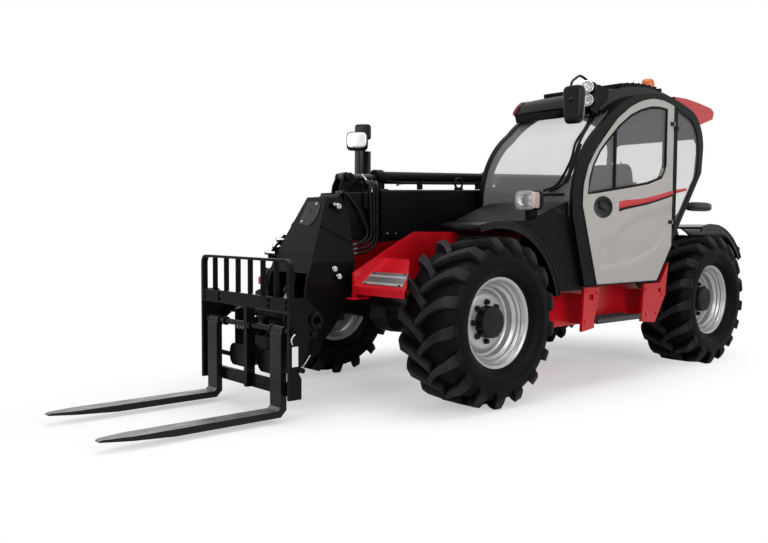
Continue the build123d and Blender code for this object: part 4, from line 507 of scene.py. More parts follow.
# Bolts through the red plates that hang beside the step.
red_bolts = hex_heads("step_plate_bolts", row([
    (-1010, 1150, 560), (-1165, 1150, 780), (-1030, 1150, 800), (-2175, 1150, 900), (-2160, 1150, 720),
    (-2060, 1150, 560), (-1900, 1150, 560), (-1890, 1150, 780)]), (0, 1, 0), red, 0.020, 0.009)
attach(red_bolts, "chassis")


# ------------------------------------------------------------- access step
# Punched and folded steel tread under black enamel. Its outer edge is cut into
# teeth, so that a muddy boot grips on it.
black_enamel = sprayed_paint("satin_black_chassis_enamel", "#0b0b0c", "#050506", 0.32, 0.09, 0.0)
# The step is enamelled dark grey all over, lighter than the chassis black.
step_enamel = sprayed_paint("dark_grey_step_enamel", "#404041", "#303031", 0.42, 0.3)
coat(step_enamel, "access_step")
tooth = np.array([(-17, 560), (-11, 572), (11, 572), (17, 560)])
step_teeth = shell("step_teeth", [
    plate(tooth + (middle, 0), 1, y - 4, y)
    for middle in range(-1800, -1200, 48) for y in (1151, 1064, 982)], step_enamel)
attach(step_teeth, "chassis")


# ------------------------------------------------- axles, hitch, counterweight
# Cast axle beams and swivel housings under black chassis enamel, the counter-
# weight in rough cast iron. Castings show the sand mould's grain through paint.
cast_black = sprayed_paint("black_painted_rough_casting", "#0e0e0f", "#050506", 0.44, 0.10, 0.0, 0.9)
coat(black_enamel, "tow_hitch", "front_axle", "rear_axle")
coat(cast_black, "counterweight", "knuckle_front_left", "knuckle_front_right", "knuckle_rear_left",
     "knuckle_rear_right", "engine_block")
weight_bolts = hex_heads("counterweight_bolts", row([
    (-3742, y, z) for y in (-330, 330) for z in (760, 1120)]), (-1, 0, 0), cast_black, 0.046, 0.022)
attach(weight_bolts, "chassis")
hitch_pin = shell("tow_hitch_pin", [
    spun([(-0.125, 0), (-0.125, 0.015), (0.004, 0.015), (0.004, 0.032), (0.014, 0.032), (0.016, 0.028),
          (0.016, 0.010), (0.045, 0.010), (0.045, 0)], row((-3708, 0, 641)), (0, 0, 1), 32)],
    black_enamel)
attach(hitch_pin, "chassis")


# ---------------------------------------------------------------- fenders
# Black polyethylene arches vacuum-formed over a mould, with a rolled lip, on
# stays above the wheels. Glossy, with the faint ripple of the forming tool.
def moulded_plastic(name, light, dark, roughness, specular, grain_scale, grain):
    """Moulded plastic: two close tones over about 200 mm, and the tool's grain."""
    return grained(name, light, dark, roughness, (5.0, 3.0), (0.04, 0.06), (grain_scale, grain), {
        "IOR": 1.5, "Specular IOR Level": specular})


glossy_plastic = moulded_plastic(
    "formed_glossy_black_polyethylene", "#09090a", "#040405", 0.16, 0.20, 60.0, 0.10)
coat(glossy_plastic, "fenders")


def smooth_path(points, steps=8):
    """Catmull-Rom curve through points: between b and c, with a before and d after,
    (2 b + (c - a) t + (2 a - 5 b + 4 c - d) t^2 + (3 b - a - 3 c + d) t^3) / 2."""
    points = np.asarray(points, float)
    points = np.concatenate([2 * points[:1] - points[1:2], points, 2 * points[-1:] - points[-2:-1]])
    a, b, c, d = (points[i:len(points) - 3 + i, None] for i in range(4))
    t = (np.arange(steps) / steps)[None, :, None]
    curve = (2 * b + (c - a) * t + (2 * a - 5 * b + 4 * c - d) * t ** 2
             + (3 * b - a - 3 * c + d) * t ** 3) / 2
    return np.concatenate([curve.reshape(-1, points.shape[-1]), points[-2:-1]])


def tube(points, radius, sides=12, steps=8):
    """A round tube on a smooth path: ring = path + radius (cos t * side + sin t *
    top), where side is square to the path and to the path's flattest direction."""
    path = smooth_path(points, steps)
    along = np.gradient(path, axis=0)
    along /= np.linalg.norm(along, axis=1, keepdims=True)
    flattest = np.linalg.svd(path - path.mean(0), full_matrices=True)[2][-1]
    side = np.cross(along, flattest)
    side /= np.linalg.norm(side, axis=1, keepdims=True)
    top = np.cross(along, side)
    angle = np.arange(sides)[None, :, None] * 2 * pi / sides
    return lofted(path[:, None] + radius * (np.cos(angle) * side[:, None] + np.sin(angle) * top[:, None]))


# A half-round bead along each fender's outer edge stiffens it.
FENDER_RADIUS = 722
FENDER_EDGE = 1131.5  # its outer face's distance from the middle
beads = []
for axle_x, tail in ((0, 167), (-1000 * WHEELBASE, 147)):
    for side in (1, -1):
        turn = np.radians(np.linspace(tail, 98, 14))
        arc = np.stack([axle_x + FENDER_RADIUS * np.cos(turn), FENDER_EDGE * side + 0 * turn,
                        1000 * AXLE_HEIGHT + FENDER_RADIUS * np.sin(turn)], -1)
        nose = [(axle_x + x, FENDER_EDGE * side, 1000 * AXLE_HEIGHT + FENDER_RADIUS + z)
                for x, z in ((60, 0), (130, -11), (199, -24))]
        beads.append(tube(row(np.concatenate([arc, nose])), 0.0065, 10, 3))
fender_bead = shell("fender_edge_beads", beads, glossy_plastic, 60)
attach(fender_bead, "chassis")


# ------------------------------------------------------------ front cowls
# Injection-moulded grained covers between the wheels and the cab, with three slots for air near the top,
# drawn as dark ovals of painted shade, screwed to the chassis plates.
grained_plastic = moulded_plastic(
    "grained_black_polypropylene", "#09090a", "#040405", 0.42, 0.08, 420.0, 0.5)
coat(grained_plastic, "front_cowls", "steering_column")
# each air slot is a dark oval laid on the cover: painted shade for the opening
slots = []
for number in range(3):
    x = -640 - number * 42
    ring = np.radians(np.arange(24) * 15)
    oval = np.stack([x + 13 * np.cos(ring) + 9 * np.sin(ring), 1432 - number * 6 + 22 * np.sin(ring)], -1)
    slots.append(plate(oval, 1, 1128, 1131.5))
cowl_slot_shades = shell("cowl_air_slot_shades", slots, hub_black)
flange = shell("cowl_rear_flange", [
    plate([(-792, 1372), (-812, 1372), (-1000, 812), (-1000, 790), (-982, 790)], 1, 1129, 1134)],
    grained_plastic, 30, 0.002)
cowl_screws = hex_heads("cowl_screws", row([
    (x, 1130, z) for x, z in ((-700, 900), (-690, 1180), (-560, 1330), (-800, 860))]), (0, 1, 0), hub_black,
    0.014, 0.006)
for piece in (cowl_slot_shades, flange, cowl_screws):
    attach(piece, "chassis")


# ------------------------------------------------------------------- lamps
# Sealed lamp units: black moulded housings, bright metallised reflectors and
# clear polycarbonate lenses. Two on the cowls, two work lamps, two tail lamps.
def signed_power(value, power):
    """A value's size to a power, with its sign kept."""
    return np.sign(value) * np.abs(value) ** power


def ball_angles(rows, columns):
    """The angles round a ball's rows and columns of points, each shaped for a grid."""
    return (np.linspace(0, 2 * pi, columns, endpoint=False)[None, :],
            np.linspace(-pi / 2, pi / 2, rows)[:, None])


def rounded_box(centre, half, square=0.3, taper=0.0, axes=None, rows=17, columns=40):
    """A box with rounded corners, the superellipsoid: half * (C(v) C(u), C(v) S(u),
    S(v)), where C and S are cosine and sine to the power square with their signs
    kept. Its x and y shrink by taper from the middle to the top."""
    u, v = ball_angles(rows, columns)
    wide = signed_power(np.cos(v), square)
    x, y = wide * signed_power(np.cos(u), square), wide * signed_power(np.sin(u), square)
    z = signed_power(np.sin(v), square) + 0 * u
    narrow = 1 - taper * z
    points = np.stack([x * narrow, y * narrow, z], -1) * half
    axes = np.eye(3) if axes is None else np.asarray(axes, float)
    return points @ axes + row(centre), False, True, False


# Clear moulded polycarbonate over a bright reflector, painted near white at 22 per cent cover: a painted
# highlight that makes the lamps look bright.
lens_painted_white_highlight = textured("clear_polycarbonate_painted_white_highlight", "TexWave", {"Scale": 26.0, "Distortion": 0.4},
                      ("#f2f4f6",), (0.05,), (0.5, 0.001), {"IOR": 1.58, "Alpha": 0.22}, bands_direction="Y")

# Aluminium vapour on a moulded bowl: a mirror with small facets.
reflector = textured("metallised_reflector_bowl", "TexVoronoi", {"Scale": 90.0},
                     ("#d4d6d8",), (0.12,), (0.6, 0.002), {"Metallic": 1.0}, "Distance")


def coloured_lens(name, colour):
    """Moulded acrylic lens in one colour, with vertical ribs 5 mm apart inside."""
    return textured(name, "TexWave", {"Scale": 64.0}, (colour,), (0.10,), (0.4, 0.001), {"IOR": 1.49},
                    bands_direction="X")


amber = coloured_lens("amber_ribbed_acrylic", "#c9601a")
smoked = coloured_lens("smoked_indicator_acrylic", "#a08c82")
red_lens = coloured_lens("red_ribbed_acrylic", "#8f0d12")
BEZEL = [(-0.030, 0.043), (0.004, 0.045), (0.004, 0.049), (-0.030, 0.050)]
BOWL = [(-0.034, 0.008), (-0.032, 0.020), (-0.024, 0.032), (-0.010, 0.040), (0.0, 0.043)]

lamp_shells, lamp_bowls, lamp_lenses, lamp_ambers, tail_reds = [], [], [], [], []
for side in (1, -1):
    y = side * 1075
    lamp_shells += [
        rounded_box((-410, y, 1503), (0.046, 0.094, 0.076), 0.55),
        block((-440, -370), sorted((y - 28, y + 28)), (1352, 1440)),
        rounded_box((-3672, side * 1010, 1080), (0.040, 0.098, 0.044), 0.25)]
    lamp_bowls += [spun(BOWL, row((-337, y + offset, 1499)), (1, 0, 0), 32) for offset in (-44, 44)]
    lamp_lenses.append(rounded_box((-338, y, 1503), (0.030, 0.090, 0.072), 0.55))
    lamp_ambers.append(rounded_box((-366, y + side * 70, 1503), (0.046, 0.022, 0.060), 0.6))
    tail_reds.append(rounded_box((-3706, side * 1010, 1080), (0.012, 0.090, 0.036), 0.3))

# the work lamps look ahead and out to the left
turn = radians(24)
outward_axes = [(cos(turn), sin(turn), 0), (-sin(turn), cos(turn), 0), (0, 0, 1)]
for z in (2300, 2403):
    look = np.array(outward_axes[0])
    centre = np.array([-1030, 1118, z])
    lamp_shells.append(rounded_box(centre - 26 * look, (0.034, 0.060, 0.046), 0.55, axes=outward_axes))
    lamp_bowls.append(spun(BOWL, row(centre) + 0.042 * look, look, 32))
    lamp_bowls.append(spun(BEZEL, row(centre) + 0.040 * look, look, 40))
    lamp_lenses.append(rounded_box(centre + 36 * look, (0.018, 0.050, 0.042), 0.8, axes=outward_axes))
lamp_shells.append(plate([
    (-1075, 2225), (-1062, 2240), (-1060, 2436), (-1180, 2440), (-1300, 2416), (-1300, 2340), (-1196, 2260),
    (-1150, 2206)], 1, 1112, 1124))

lamp_housings = shell("lamp_housings", lamp_shells, grained_plastic, 40)
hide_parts("lamps")
for name, grids, finish in (
        ("lamp_reflectors", lamp_bowls, reflector), ("lamp_lenses", lamp_lenses, lens_painted_white_highlight),
        ("indicator_lenses", lamp_ambers, smoked), ("tail_lamp_lenses", tail_reds, red_lens)):
    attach(shell(name, grids, finish, 50), "chassis")
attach(lamp_housings, "chassis")


# ----------------------------------------------------------------- mirrors
# Convex mirrors in moulded black backs: one hung from a bent steel tube at the
# roof's left front corner, one low behind the door, two heads on a box mast.
mirror_glass = textured("silvered_mirror_glass", "TexNoise", {"Scale": 14.0, "Detail": 3.0},
                        ("#e4e6e8",), (0.02, 0.07), None, {"Metallic": 1.0})

# the heads on the mast are turned about it by 40 degrees
LEFT_AHEAD = [(cos(radians(40)), sin(radians(40)), 0), (-sin(radians(40)), cos(radians(40)), 0), (0, 0, 1)]
backs = [
    tube(row([(-1420, 1070, 2330), (-1256, 1070, 2410), (-1100, 1070, 2465), (-996, 1070, 2494),
              (-930, 1070, 2466), (-884, 1070, 2432), (-862, 1074, 2370)]), 0.010, 12, 6),
    rounded_box((-858, 1112, 2252), (0.034, 0.084, 0.146), 0.36, -0.10),
    rounded_box((-826, 1106, 2290), (0.016, 0.020, 0.020), 0.9),
    rounded_box((-2755, 1151, 1505), (0.214, 0.041, 0.043), 0.55),
    block((-2600, -2470), (1138, 1162), (1490, 1512)),
    plate([(-491, -954), (-483, -962), (-360, -962), (-352, -954), (-352, -886), (-360, -878), (-483, -878),
           (-491, -886)], 2, 1352, 2000),
    rounded_box((-440, -940, 2180), (0.030, 0.075, 0.072), 0.34, axes=LEFT_AHEAD),
    rounded_box((-372, -940, 2090), (0.030, 0.100, 0.088), 0.40, axes=LEFT_AHEAD),
    tube(row([(-435, -920, 1990), (-435, -930, 2060), (-420, -940, 2130)]), 0.014, 12, 4)]
mirror_backs = shell("mirror_backs_and_mast", backs, glossy_plastic, 45)
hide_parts("mirrors")
mirror_faces = shell("mirror_faces", [
    rounded_box((-894, 1112, 2252), (0.004, 0.074, 0.132), 0.36, -0.10),
    rounded_box((-461, -958, 2180), (0.004, 0.066, 0.063), 0.34, axes=LEFT_AHEAD)], mirror_glass, 60)
mast_lamp = shell("mast_lamp_glass", [
    rounded_box((-351, -922, 2098), (0.008, 0.088, 0.068), 0.36, axes=LEFT_AHEAD)], mirror_glass, 60)
for piece in (mirror_backs, mirror_faces, mast_lamp):
    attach(piece, "chassis")


# --------------------------------------------------------------- cab frame
# A welded ring of steel tube under black enamel, hollow inside, with the panes
# bonded into rubber beads round its openings.
coat(black_enamel, "cab_frame")

# Toughened glass, polished by fire and a little wavy from the rollers. It is seen through, but for a pale
# grey share of 15 per cent that stands in for the white the panes reflect: a painted reflection.
glass_painted_pale_reflection = textured("toughened_glass_painted_pale_reflection", "TexNoise", {"Scale": 1.6, "Detail": 1.0},
                        ("#b4b6b8",), (0.02,), (0.02, 0.004), {"IOR": 1.52, "Alpha": 0.15})
coat(glass_painted_pale_reflection, "windscreen", "rear_glass", "side_glass", "door_glass")

# Extruded black rubber, soft and matt, with fine lines along it.
seal_rubber = moulded_plastic("extruded_black_seal_rubber", "#0a0a0b", "#040405", 0.55, 0.10, 900.0, 0.3)

# points of each outline: ahead of the front axle, and height
WINDOW_EDGE = [
    (-2060, 1740), (-1955, 1712), (-1850, 1685), (-1630, 1653), (-1407, 1624), (-1220, 1600), (-1100, 1584),
    (-985, 1570), (-1004, 1690), (-1050, 1800), (-1134, 1913), (-1245, 2010), (-1395, 2130), (-1560, 2230),
    (-1720, 2291), (-1880, 2330), (-2010, 2340), (-2130, 2335), (-2130, 2100), (-2130, 1850), (-2100, 1790)]
DOOR_EDGE = [
    (-2020, 850), (-1570, 850), (-1125, 850), (-1020, 1165), (-915, 1480), (-925, 1640), (-985, 1790),
    (-1086, 1920), (-1210, 2040), (-1370, 2184), (-1560, 2300), (-1722, 2362), (-1896, 2402), (-2075, 2404),
    (-2250, 2375), (-2250, 1760), (-2250, 1150), (-2135, 1000)]


def seal(outline, y, inset, width, height):
    """A rubber strip round an outline: its section, half round, stands on the panel
    at y. Each point is the outline's, moved inward by inset, plus the section's."""
    edge = np.asarray(outline, float)
    ahead = np.roll(edge, -1, 0) - edge
    ahead /= np.linalg.norm(ahead, axis=1, keepdims=True)
    mean = ahead + np.roll(ahead, 1, 0)
    mean /= np.linalg.norm(mean, axis=1, keepdims=True)
    area = np.sum(edge[:, 0] * np.roll(edge[:, 1], -1) - np.roll(edge[:, 0], -1) * edge[:, 1])
    inward = np.stack([-mean[:, 1], mean[:, 0]], -1) * np.sign(area)
    angle = np.linspace(0, pi, 7)
    across = inset + width / 2 * np.cos(angle)
    flat = edge[:, None] + inward[:, None] * across[None, :, None]
    rise = np.broadcast_to(y + height * np.sin(angle), flat.shape[:2])
    return row(np.stack([flat[..., 0], rise, flat[..., 1]], -1)), True, False, False


QUARTER_EDGE = [
    (-2300, 1300), (-2420, 1456), (-2540, 1612), (-2665, 1775), (-2688, 1870), (-2694, 1960), (-2690, 2050),
    (-2676, 2132), (-2634, 2213), (-2560, 2280), (-2430, 2320), (-2300, 2358), (-2300, 1830)]
SEAL_Y = 1169.5  # the face that the seals stand on
frame_seals = shell("pane_seals", [
    seal(QUARTER_EDGE, SEAL_Y, 3, 22, 5), seal(DOOR_EDGE, SEAL_Y, -8, 10, 6)], seal_rubber, 60)
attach(frame_seals, "chassis")
door_seals = shell("door_window_seal", [seal(WINDOW_EDGE, SEAL_Y, 2, 20, 6)], seal_rubber, 60)
window_bar = shell("door_window_bar", [
    plate([(-1335.5, 1612), (-1335.5, 2088), (-1364.5, 2112), (-1364.5, 1616)], 1, 1157, 1172)],
    seal_rubber, 30, 0.002)
# the rubber channel that lines the opening's edge, and black caps on the hinges
opening = np.asarray(WINDOW_EDGE, float)
inward_step = np.array([-1640, 1950]) - opening  # towards the window's middle
inward_step /= np.linalg.norm(inward_step, axis=1, keepdims=True)
channel = np.stack([np.insert(opening + inward_step * d, 1, y, axis=1)
                    for d, y in ((-6, 1171.5), (2.5, 1171.5), (2.5, 1131), (-1, 1131))], 1)
window_channel = shell("door_window_channel", [(row(channel), True, False, False)], seal_rubber, 40)
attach(window_channel, "door")
hinge_caps = shell("door_hinge_caps", [
    spun([(-0.0005, 0.0112), (-0.0005, 0.0125), (0.036, 0.0125), (0.038, 0.010), (0.038, 0)],
         row((-2256, 1184, z)), (0, 0, 1), 24) for z in (1340.5, 2200.5)] + [
    block((-2247, -2187), (1173.5, 1179), (z + 1, z + 33)) for z in (1340, 2200)], black_enamel, 40)
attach(hinge_caps, "door")
for piece in (door_seals, window_bar):
    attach(piece, "door")


# -------------------------------------------------------------------- door
# A deep-drawn steel skin in warm grey enamel over the door's frame. It swells
# round the handle and dips into a long pocket that runs back under it.
warm_grey = sprayed_paint("warm_grey_door_enamel", "#a9a6a2", "#9b9894", 0.34, 0.4, 0.2)
coat(warm_grey, "door_panel")
SKIN_Y = 1170.2  # the door's outer face, which the skin lies on
PANE_Y = 1164.5  # the fixed pane's outer face
HANDLE = (-1180, 1468)  # the handle's middle, ahead of the front axle and height


def step_up(value, low, high):
    """0 below low, 1 above high, and 3 t^2 - 2 t^3 between."""
    t = np.clip((value - low) / (high - low), 0, 1)
    return t * t * (3 - 2 * t)


def door_relief(x, z):
    """How far the skin stands off the door in mm: 9, less 7 in the pocket, whose
    lower edge is a crease and whose upper one a soft fold, and less a dish round
    the handle with a proud ring outside it."""
    crease = np.interp(x, [-2271, -2116, -1990, -1820, -1644, -1440, -1271, -1129],
                       [1367, 1240, 1116, 1056, 1014, 985, 971, 965])
    fold = np.interp(x, [-2271, -2000, -1800, -1600, -1450, -1340, -1129],
                     [1530, 1482, 1452, 1400, 1340, 1236, 1224])
    front = step_up(-x, 1129, 1180)
    pocket = step_up(z, crease - 4, crease + 44) * (1 - step_up(z, fold - 90, fold + 8)) * front
    handle = np.hypot((x - HANDLE[0]) / 1.4, (z - HANDLE[1]) / 0.94)
    ring = np.exp(-((np.hypot((x + 1215) / 1.5, z - 1480) - 112) / 20) ** 2)
    return 8.6 - 7.6 * pocket - 8.0 * (1 - step_up(handle, 84, 94)) + 1.4 * ring


rows_up, rows_across = 140, 170
t = np.linspace(0, 1, rows_up)[:, None]
s = np.linspace(0, 1, rows_across)[None, :]
# the panel's four edges: its foot, the window's lower edge, its front and its rear
low_x = -1127 + (-2018 + 1127) * s
low_z = 852 + 0 * s
rear_x = np.interp(t, [0, 0.335, 1], [-2018, -2248, -2248])
rear_z = np.interp(t, [0, 0.335, 1], [852, 1151, 1744])
front_x = np.interp(t, [0, 0.87, 1], [-1127, -918, -916])
front_z = np.interp(t, [0, 0.87, 1], [852, 1479, 1558])
edge_x = np.array([-916, -985, -1100, -1220, -1407, -1630, -1850, -1955, -2060, -2248])
edge_z = np.array([1558, 1562, 1576, 1592, 1616, 1645, 1677, 1704, 1732, 1744])
high_x = np.interp(s, [0, 1], [-916, -2248])
high_z = np.interp(-high_x, -edge_x, edge_z)


def between_edges(low, high, front, rear):
    """A coordinate of the skin: low to high by t, plus front to rear by s, less the
    four corners, which would count twice."""
    return (1 - t) * low + t * high + (1 - s) * front + s * rear - (
        (1 - t) * ((1 - s) * low[0, 0] + s * low[0, -1]) + t * ((1 - s) * high[0, 0] + s * high[0, -1]))


x = between_edges(low_x, high_x, front_x, rear_x)
z = between_edges(low_z, high_z, front_z, rear_z)
rim = np.minimum(np.minimum(s, 1 - s) * 1200, np.minimum(t, 1 - t) * 800) + 0 * x
height = door_relief(x, z) * step_up(rim, -1, 12)
door_skin = shell("pressed_door_skin", [(row(np.stack([x, SKIN_Y + height, z], -1)), False, False, False)],
                  warm_grey, 40)
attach(door_skin, "door")

# The red stripe: a thin pressed trim that narrows towards the back, with a black strip along its lower edge
# that is a painted shadow. Its last part is stuck on the fixed pane behind the door.
# behind the front axle, height of the upper edge, of the lower edge
STRIPE = np.array([
    (1402, 1517, 1436), (1500, 1533, 1456), (1700, 1546, 1484), (1830, 1562, 1502), (2050, 1601, 1546),
    (2257, 1640, 1590), (2380, 1654, 1612), (2506, 1668, 1636)])


def stripe(name, start, end, body, finish, share, proud):
    """A strip between two curves from x = start to end: share gives how far down
    between them it starts and ends, and proud its height above what is under it."""
    x = np.linspace(start, end, 60)
    top, low = (np.interp(-x, STRIPE[:, 0], STRIPE[:, edge]) for edge in (1, 2))
    z = top[:, None] + (low - top)[:, None] * np.linspace(*share, 6)[None, :]
    across = np.linspace(-1, 1, 6)[None, :] ** 4
    under = door_relief(x[:, None] + 0 * z, z) + SKIN_Y if body == "door" else PANE_Y + 0 * z
    points = np.stack([x[:, None] + 0 * z, under + proud * (1 - across), z], -1)
    strip = shell(name, [(row(points), False, False, False)], finish, 60)
    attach(strip, body)


stripe("door_stripe", -1402, -2247, "door", red, (0.0, 0.72), 1.6)
stripe("door_stripe_shadow_edge", -1402, -2247, "door", seal_rubber, (0.72, 1.0), 1.3)
stripe("pane_stripe", -2302, -2500, "chassis", red, (0.0, 0.72), 6.5)

# Handle: a black moulded dish in the skin, with a finger bar across it.
ring_centre = row((HANDLE[0], 1170, HANDLE[1]))
door_dish = shell("door_handle_dish", [
    (ring_centre + (1.4, 1, 0.94) * (turned([
        (0.0018, 0), (0.0018, 0.050), (0.003, 0.066), (0.006, 0.078), (0.0095, 0.084), (0.0110, 0.088),
        (0.0100, 0.093), (0.0020, 0.095)], ring_centre, (0, 1, 0), 64) - ring_centre), True, False, False),
    rounded_box((-1190, 1175, 1462), (0.056, 0.006, 0.020), 0.5,
                axes=[(1, 0, 0.30), (0, 1, 0), (-0.30, 0, 1)]),
    rounded_box((-1140, 1176, 1500), (0.012, 0.005, 0.012), 0.9)], glossy_plastic, 50)
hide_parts("door_handle")
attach(door_dish, "door")


# -------------------------------------------------------------------- roof
# A moulded cap, with a red spoiler behind it and a cross-ribbed guard over it.
# A thin visor with painted red tips stands out over the windscreen.
coat(glossy_plastic, "cab_roof")
coat(black_enamel, "roof_guard")
across = np.linspace(210, 1098, 40)[:, None]
bow = 1 - ((across - 654) / 444) ** 2
lip = np.array([(-1420, 2436), (-1330, 2412), (-1262, 2362), (-1214, 2296), (-1222, 2288), (-1266, 2350),
                (-1332, 2400), (-1420, 2424)])
visor_points = np.stack([
    lip[None, :, 0] + 16 * bow, across + 0 * lip[None, :, 0], lip[None, :, 1] + 6 * bow - 2], -1)
visor = shell("windscreen_visor", [lofted(row(visor_points))], black_enamel, 40)
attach(visor, "chassis")
tips = []
for low, high in ((204, 236), (1066, 1104)):
    tip = np.linspace(low, high, 6)[:, None]
    tips.append((row(np.stack([lip[None, :4, 0] + 9 + 0 * tip, tip + 0 * lip[None, :4, 0],
                               lip[None, :4, 1] + 5 + 0 * tip], -1)), False, False, False))
tip_red = sprayed_paint("dark_red_visor_lacquer", "#7c0f14", "#650a0e", 0.3, 0.1)
visor_tips = shell("visor_red_tips", tips, tip_red, 50)
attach(visor_tips, "chassis")

# Toothed edge of the guard, along the roof's left side, with bolts between.
teeth = []
for number in range(15):
    x = -1560 - number * 42
    crown = 2512 - 40 * ((x + 1950) / 420) ** 2
    teeth.append(plate([
        (x - 15, crown - 22), (x - 9, crown + 12), (x + 9, crown + 12), (x + 15, crown - 22)], 1, 1072, 1094))
guard_teeth = shell("roof_guard_teeth", teeth, black_enamel, 30)
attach(guard_teeth, "chassis")

# Beacon: an amber lens ribbed inside, on a black rubber foot, and beside it a
# thin spring aerial.
beacon = shell("beacon_lens", [
    spun([(0.062, 0.058), (0.074, 0.060), (0.110, 0.0585), (0.150, 0.056), (0.170, 0.050), (0.181, 0.036),
          (0.184, 0.015), (0.184, 0)], row((-2280, 885, 2470)), (0, 0, 1), 48)], amber, 40)
beacon_foot = shell("beacon_foot", [
    spun([(0.010, 0.064), (0.045, 0.064), (0.052, 0.061), (0.056, 0.064), (0.066, 0.064), (0.068, 0.058),
          (0.068, 0)], row((-2280, 885, 2470)), (0, 0, 1), 48),
    spun([(-0.01, 0.012), (0.02, 0.010), (0.03, 0.004), (0.125, 0.0022), (0.125, 0)],
         row((-2150, 820, 2505)), (0, 0, 1), 16)], seal_rubber, 40)
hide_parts("beacon")
for piece in (beacon, beacon_foot):
    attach(piece, "chassis")


# ------------------------------------------------------------------ wipers
# Two pantograph arms of pressed steel from pivots under the roof's left corner,
# with a rubber blade at the windscreen's edge.
wiper_arms = [
    tube(row([(-1362, 930, 2268), (-1226, 1002, 2184), (-1100, 1040, 2085), (-974, 1051, 1971),
              (-866, 1080, 1811), (-800, 1010, 1640), (-772, 900, 1592)]), 0.011, 8, 6),
    tube(row([(-1325, 1005, 2256), (-1200, 1035, 2165), (-1075, 1060, 2062), (-968, 1088, 1968),
              (-862, 1105, 1805), (-792, 1080, 1650), (-770, 960, 1585)]), 0.011, 8, 6),
    tube(row([(-962, 1108, 1955), (-870, 1118, 1800), (-805, 1096, 1650)]), 0.011, 8, 8)]
wiper_blade = [
    tube(row([(-792, 1085, 1560), (-786, 960, 1562), (-784, 820, 1564), (-784, 700, 1566)]), 0.009, 8, 6),
    *(spun([(-0.03, 0), (-0.03, 0.02), (0.012, 0.02), (0.018, 0.014), (0.018, 0)],
           row(pivot), (0.7, 0.2, 0.7), 24) for pivot in ((-1362, 930, 2268), (-1325, 1005, 2256)))]
wiper = shell("wiper_arms", wiper_arms, black_enamel, 50)
blade = shell("wiper_blade_and_pivots", wiper_blade, seal_rubber, 50)
for piece in (wiper, blade):
    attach(piece, "chassis")


# -------------------------------------------------------------------- boom
# Welded high-tensile box beams in black enamel, the inner one sliding out of
# the outer on plastic pads. A cylinder in saddles lies along the top.
coat(black_enamel, "boom_outer", "boom_inner", "extension_barrel", "lift_barrel", "tilt_barrel", "boom_head")

# Hard chrome ground round: bright, with the faint rings of the grinder.
chrome = textured("ground_hard_chrome", "TexNoise", {"Scale": 500.0, "Detail": 1.0},
                  ("#a9acb0",), (0.08, 0.16), None, {"Metallic": 1.0})
coat(chrome, "lift_rod", "tilt_rod")

# The extension rod is chrome, painted dark instead: a painted reflection of the dark parts round it, and
# still polished.
steel_painted_dark_reflection = sprayed_paint("polished_steel_painted_dark_reflection", "#232426", "#141416", 0.22, 0.5)
coat(steel_painted_dark_reflection, "extension_rod")


BOOM_SLOPE = radians(2)
BOOM_MOUTH = (290, 1386)
BEAM_SIDE = 173.2


def boom_at(along, across, up):
    """A point on the lowered boom, from its mouth's centre, in the row's frame:
    turned down forward by the boom's slope."""
    return row((BOOM_MOUTH[0] + along * cos(BOOM_SLOPE) + up * sin(BOOM_SLOPE), across,
                BOOM_MOUTH[1] - along * sin(BOOM_SLOPE) + up * cos(BOOM_SLOPE)))


# a ring of round bar, standing on a block, for lifting the boom when it is built
EYE_RADIUS, BAR_RADIUS = 44, 10
ring_turn = np.linspace(0, 2 * pi, 33)[:-1]
centre = np.array([-630, 112, 1672])
outward = np.stack([np.cos(ring_turn), 0 * ring_turn, np.sin(ring_turn)], -1)
eye_ring = centre + EYE_RADIUS * outward
eye_section = np.linspace(0, 2 * pi, 11)[:-1]
eye_points = row(eye_ring[:, None] + BAR_RADIUS * (
    np.cos(eye_section)[None, :, None] * outward[:, None]
    + np.sin(eye_section)[None, :, None] * np.array([0, 1, 0])))
lifting_eye = shell("boom_lifting_eye", [
    (eye_points, True, True, False), block((-668, -592), (96, 128), (1606, 1638))], black_enamel, 50)
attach(lifting_eye, "boom_outer")

pad_screws = []
for side in (1, -1):
    pad_screws.append(hex_heads("slide_pad_screws_" + ("left" if side > 0 else "right"), [
        boom_at(along, side * BEAM_SIDE, up) for along in (-68, -22) for up in (-150, -60, 60, 150)],
        (0, side, 0), black_enamel, 0.020, 0.009))
pad_screws.append(hex_heads("boom_mouth_bolts", row([
    (x, BEAM_SIDE, 1247) for x in (141, 226)]), (0, 1, 0), chrome, 0.014, 0.007))
for piece in pad_screws:
    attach(piece, "boom_outer")

# Cylinder clevis and gland at the extension cylinder's front, and its pipes.
gland_bolts = hex_heads("extension_gland_bolts", [
    boom_at(-89, 38 * cos(a), 300 + 38 * sin(a)) for a in np.radians([30, 90, 150, 210, 270, 330])],
    (cos(BOOM_SLOPE), 0, -sin(BOOM_SLOPE)), cast_black, 0.014, 0.008)
pipe_run = [boom_at(along, 70, up) for along, up in (
    (-2300, 262), (-1800, 262), (-1200, 262), (-700, 262), (-300, 262), (-180, 268), (-130, 292))]
steel_pipe = shell("extension_cylinder_pipe", [
    tube(pipe_run, 0.008, 10, 4),
    tube([point + (0, 0.022, -0.010) for point in pipe_run[:-2]] + [boom_at(-240, 92, 236)], 0.008, 10, 4)],
    black_enamel, 60)
clamps = shell("pipe_clamps", [
    lofted(np.stack([
        np.stack([boom_at(along + a, y, up) for y, up in ((58, 204), (106, 204), (106, 274), (58, 274))])
        for a in (-12, 12)]))
    for along in (-1900, -1200, -500)], grained_plastic, 30, 0.003)
for piece in (gland_bolts, steel_pipe, clamps):
    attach(piece, "boom_outer")

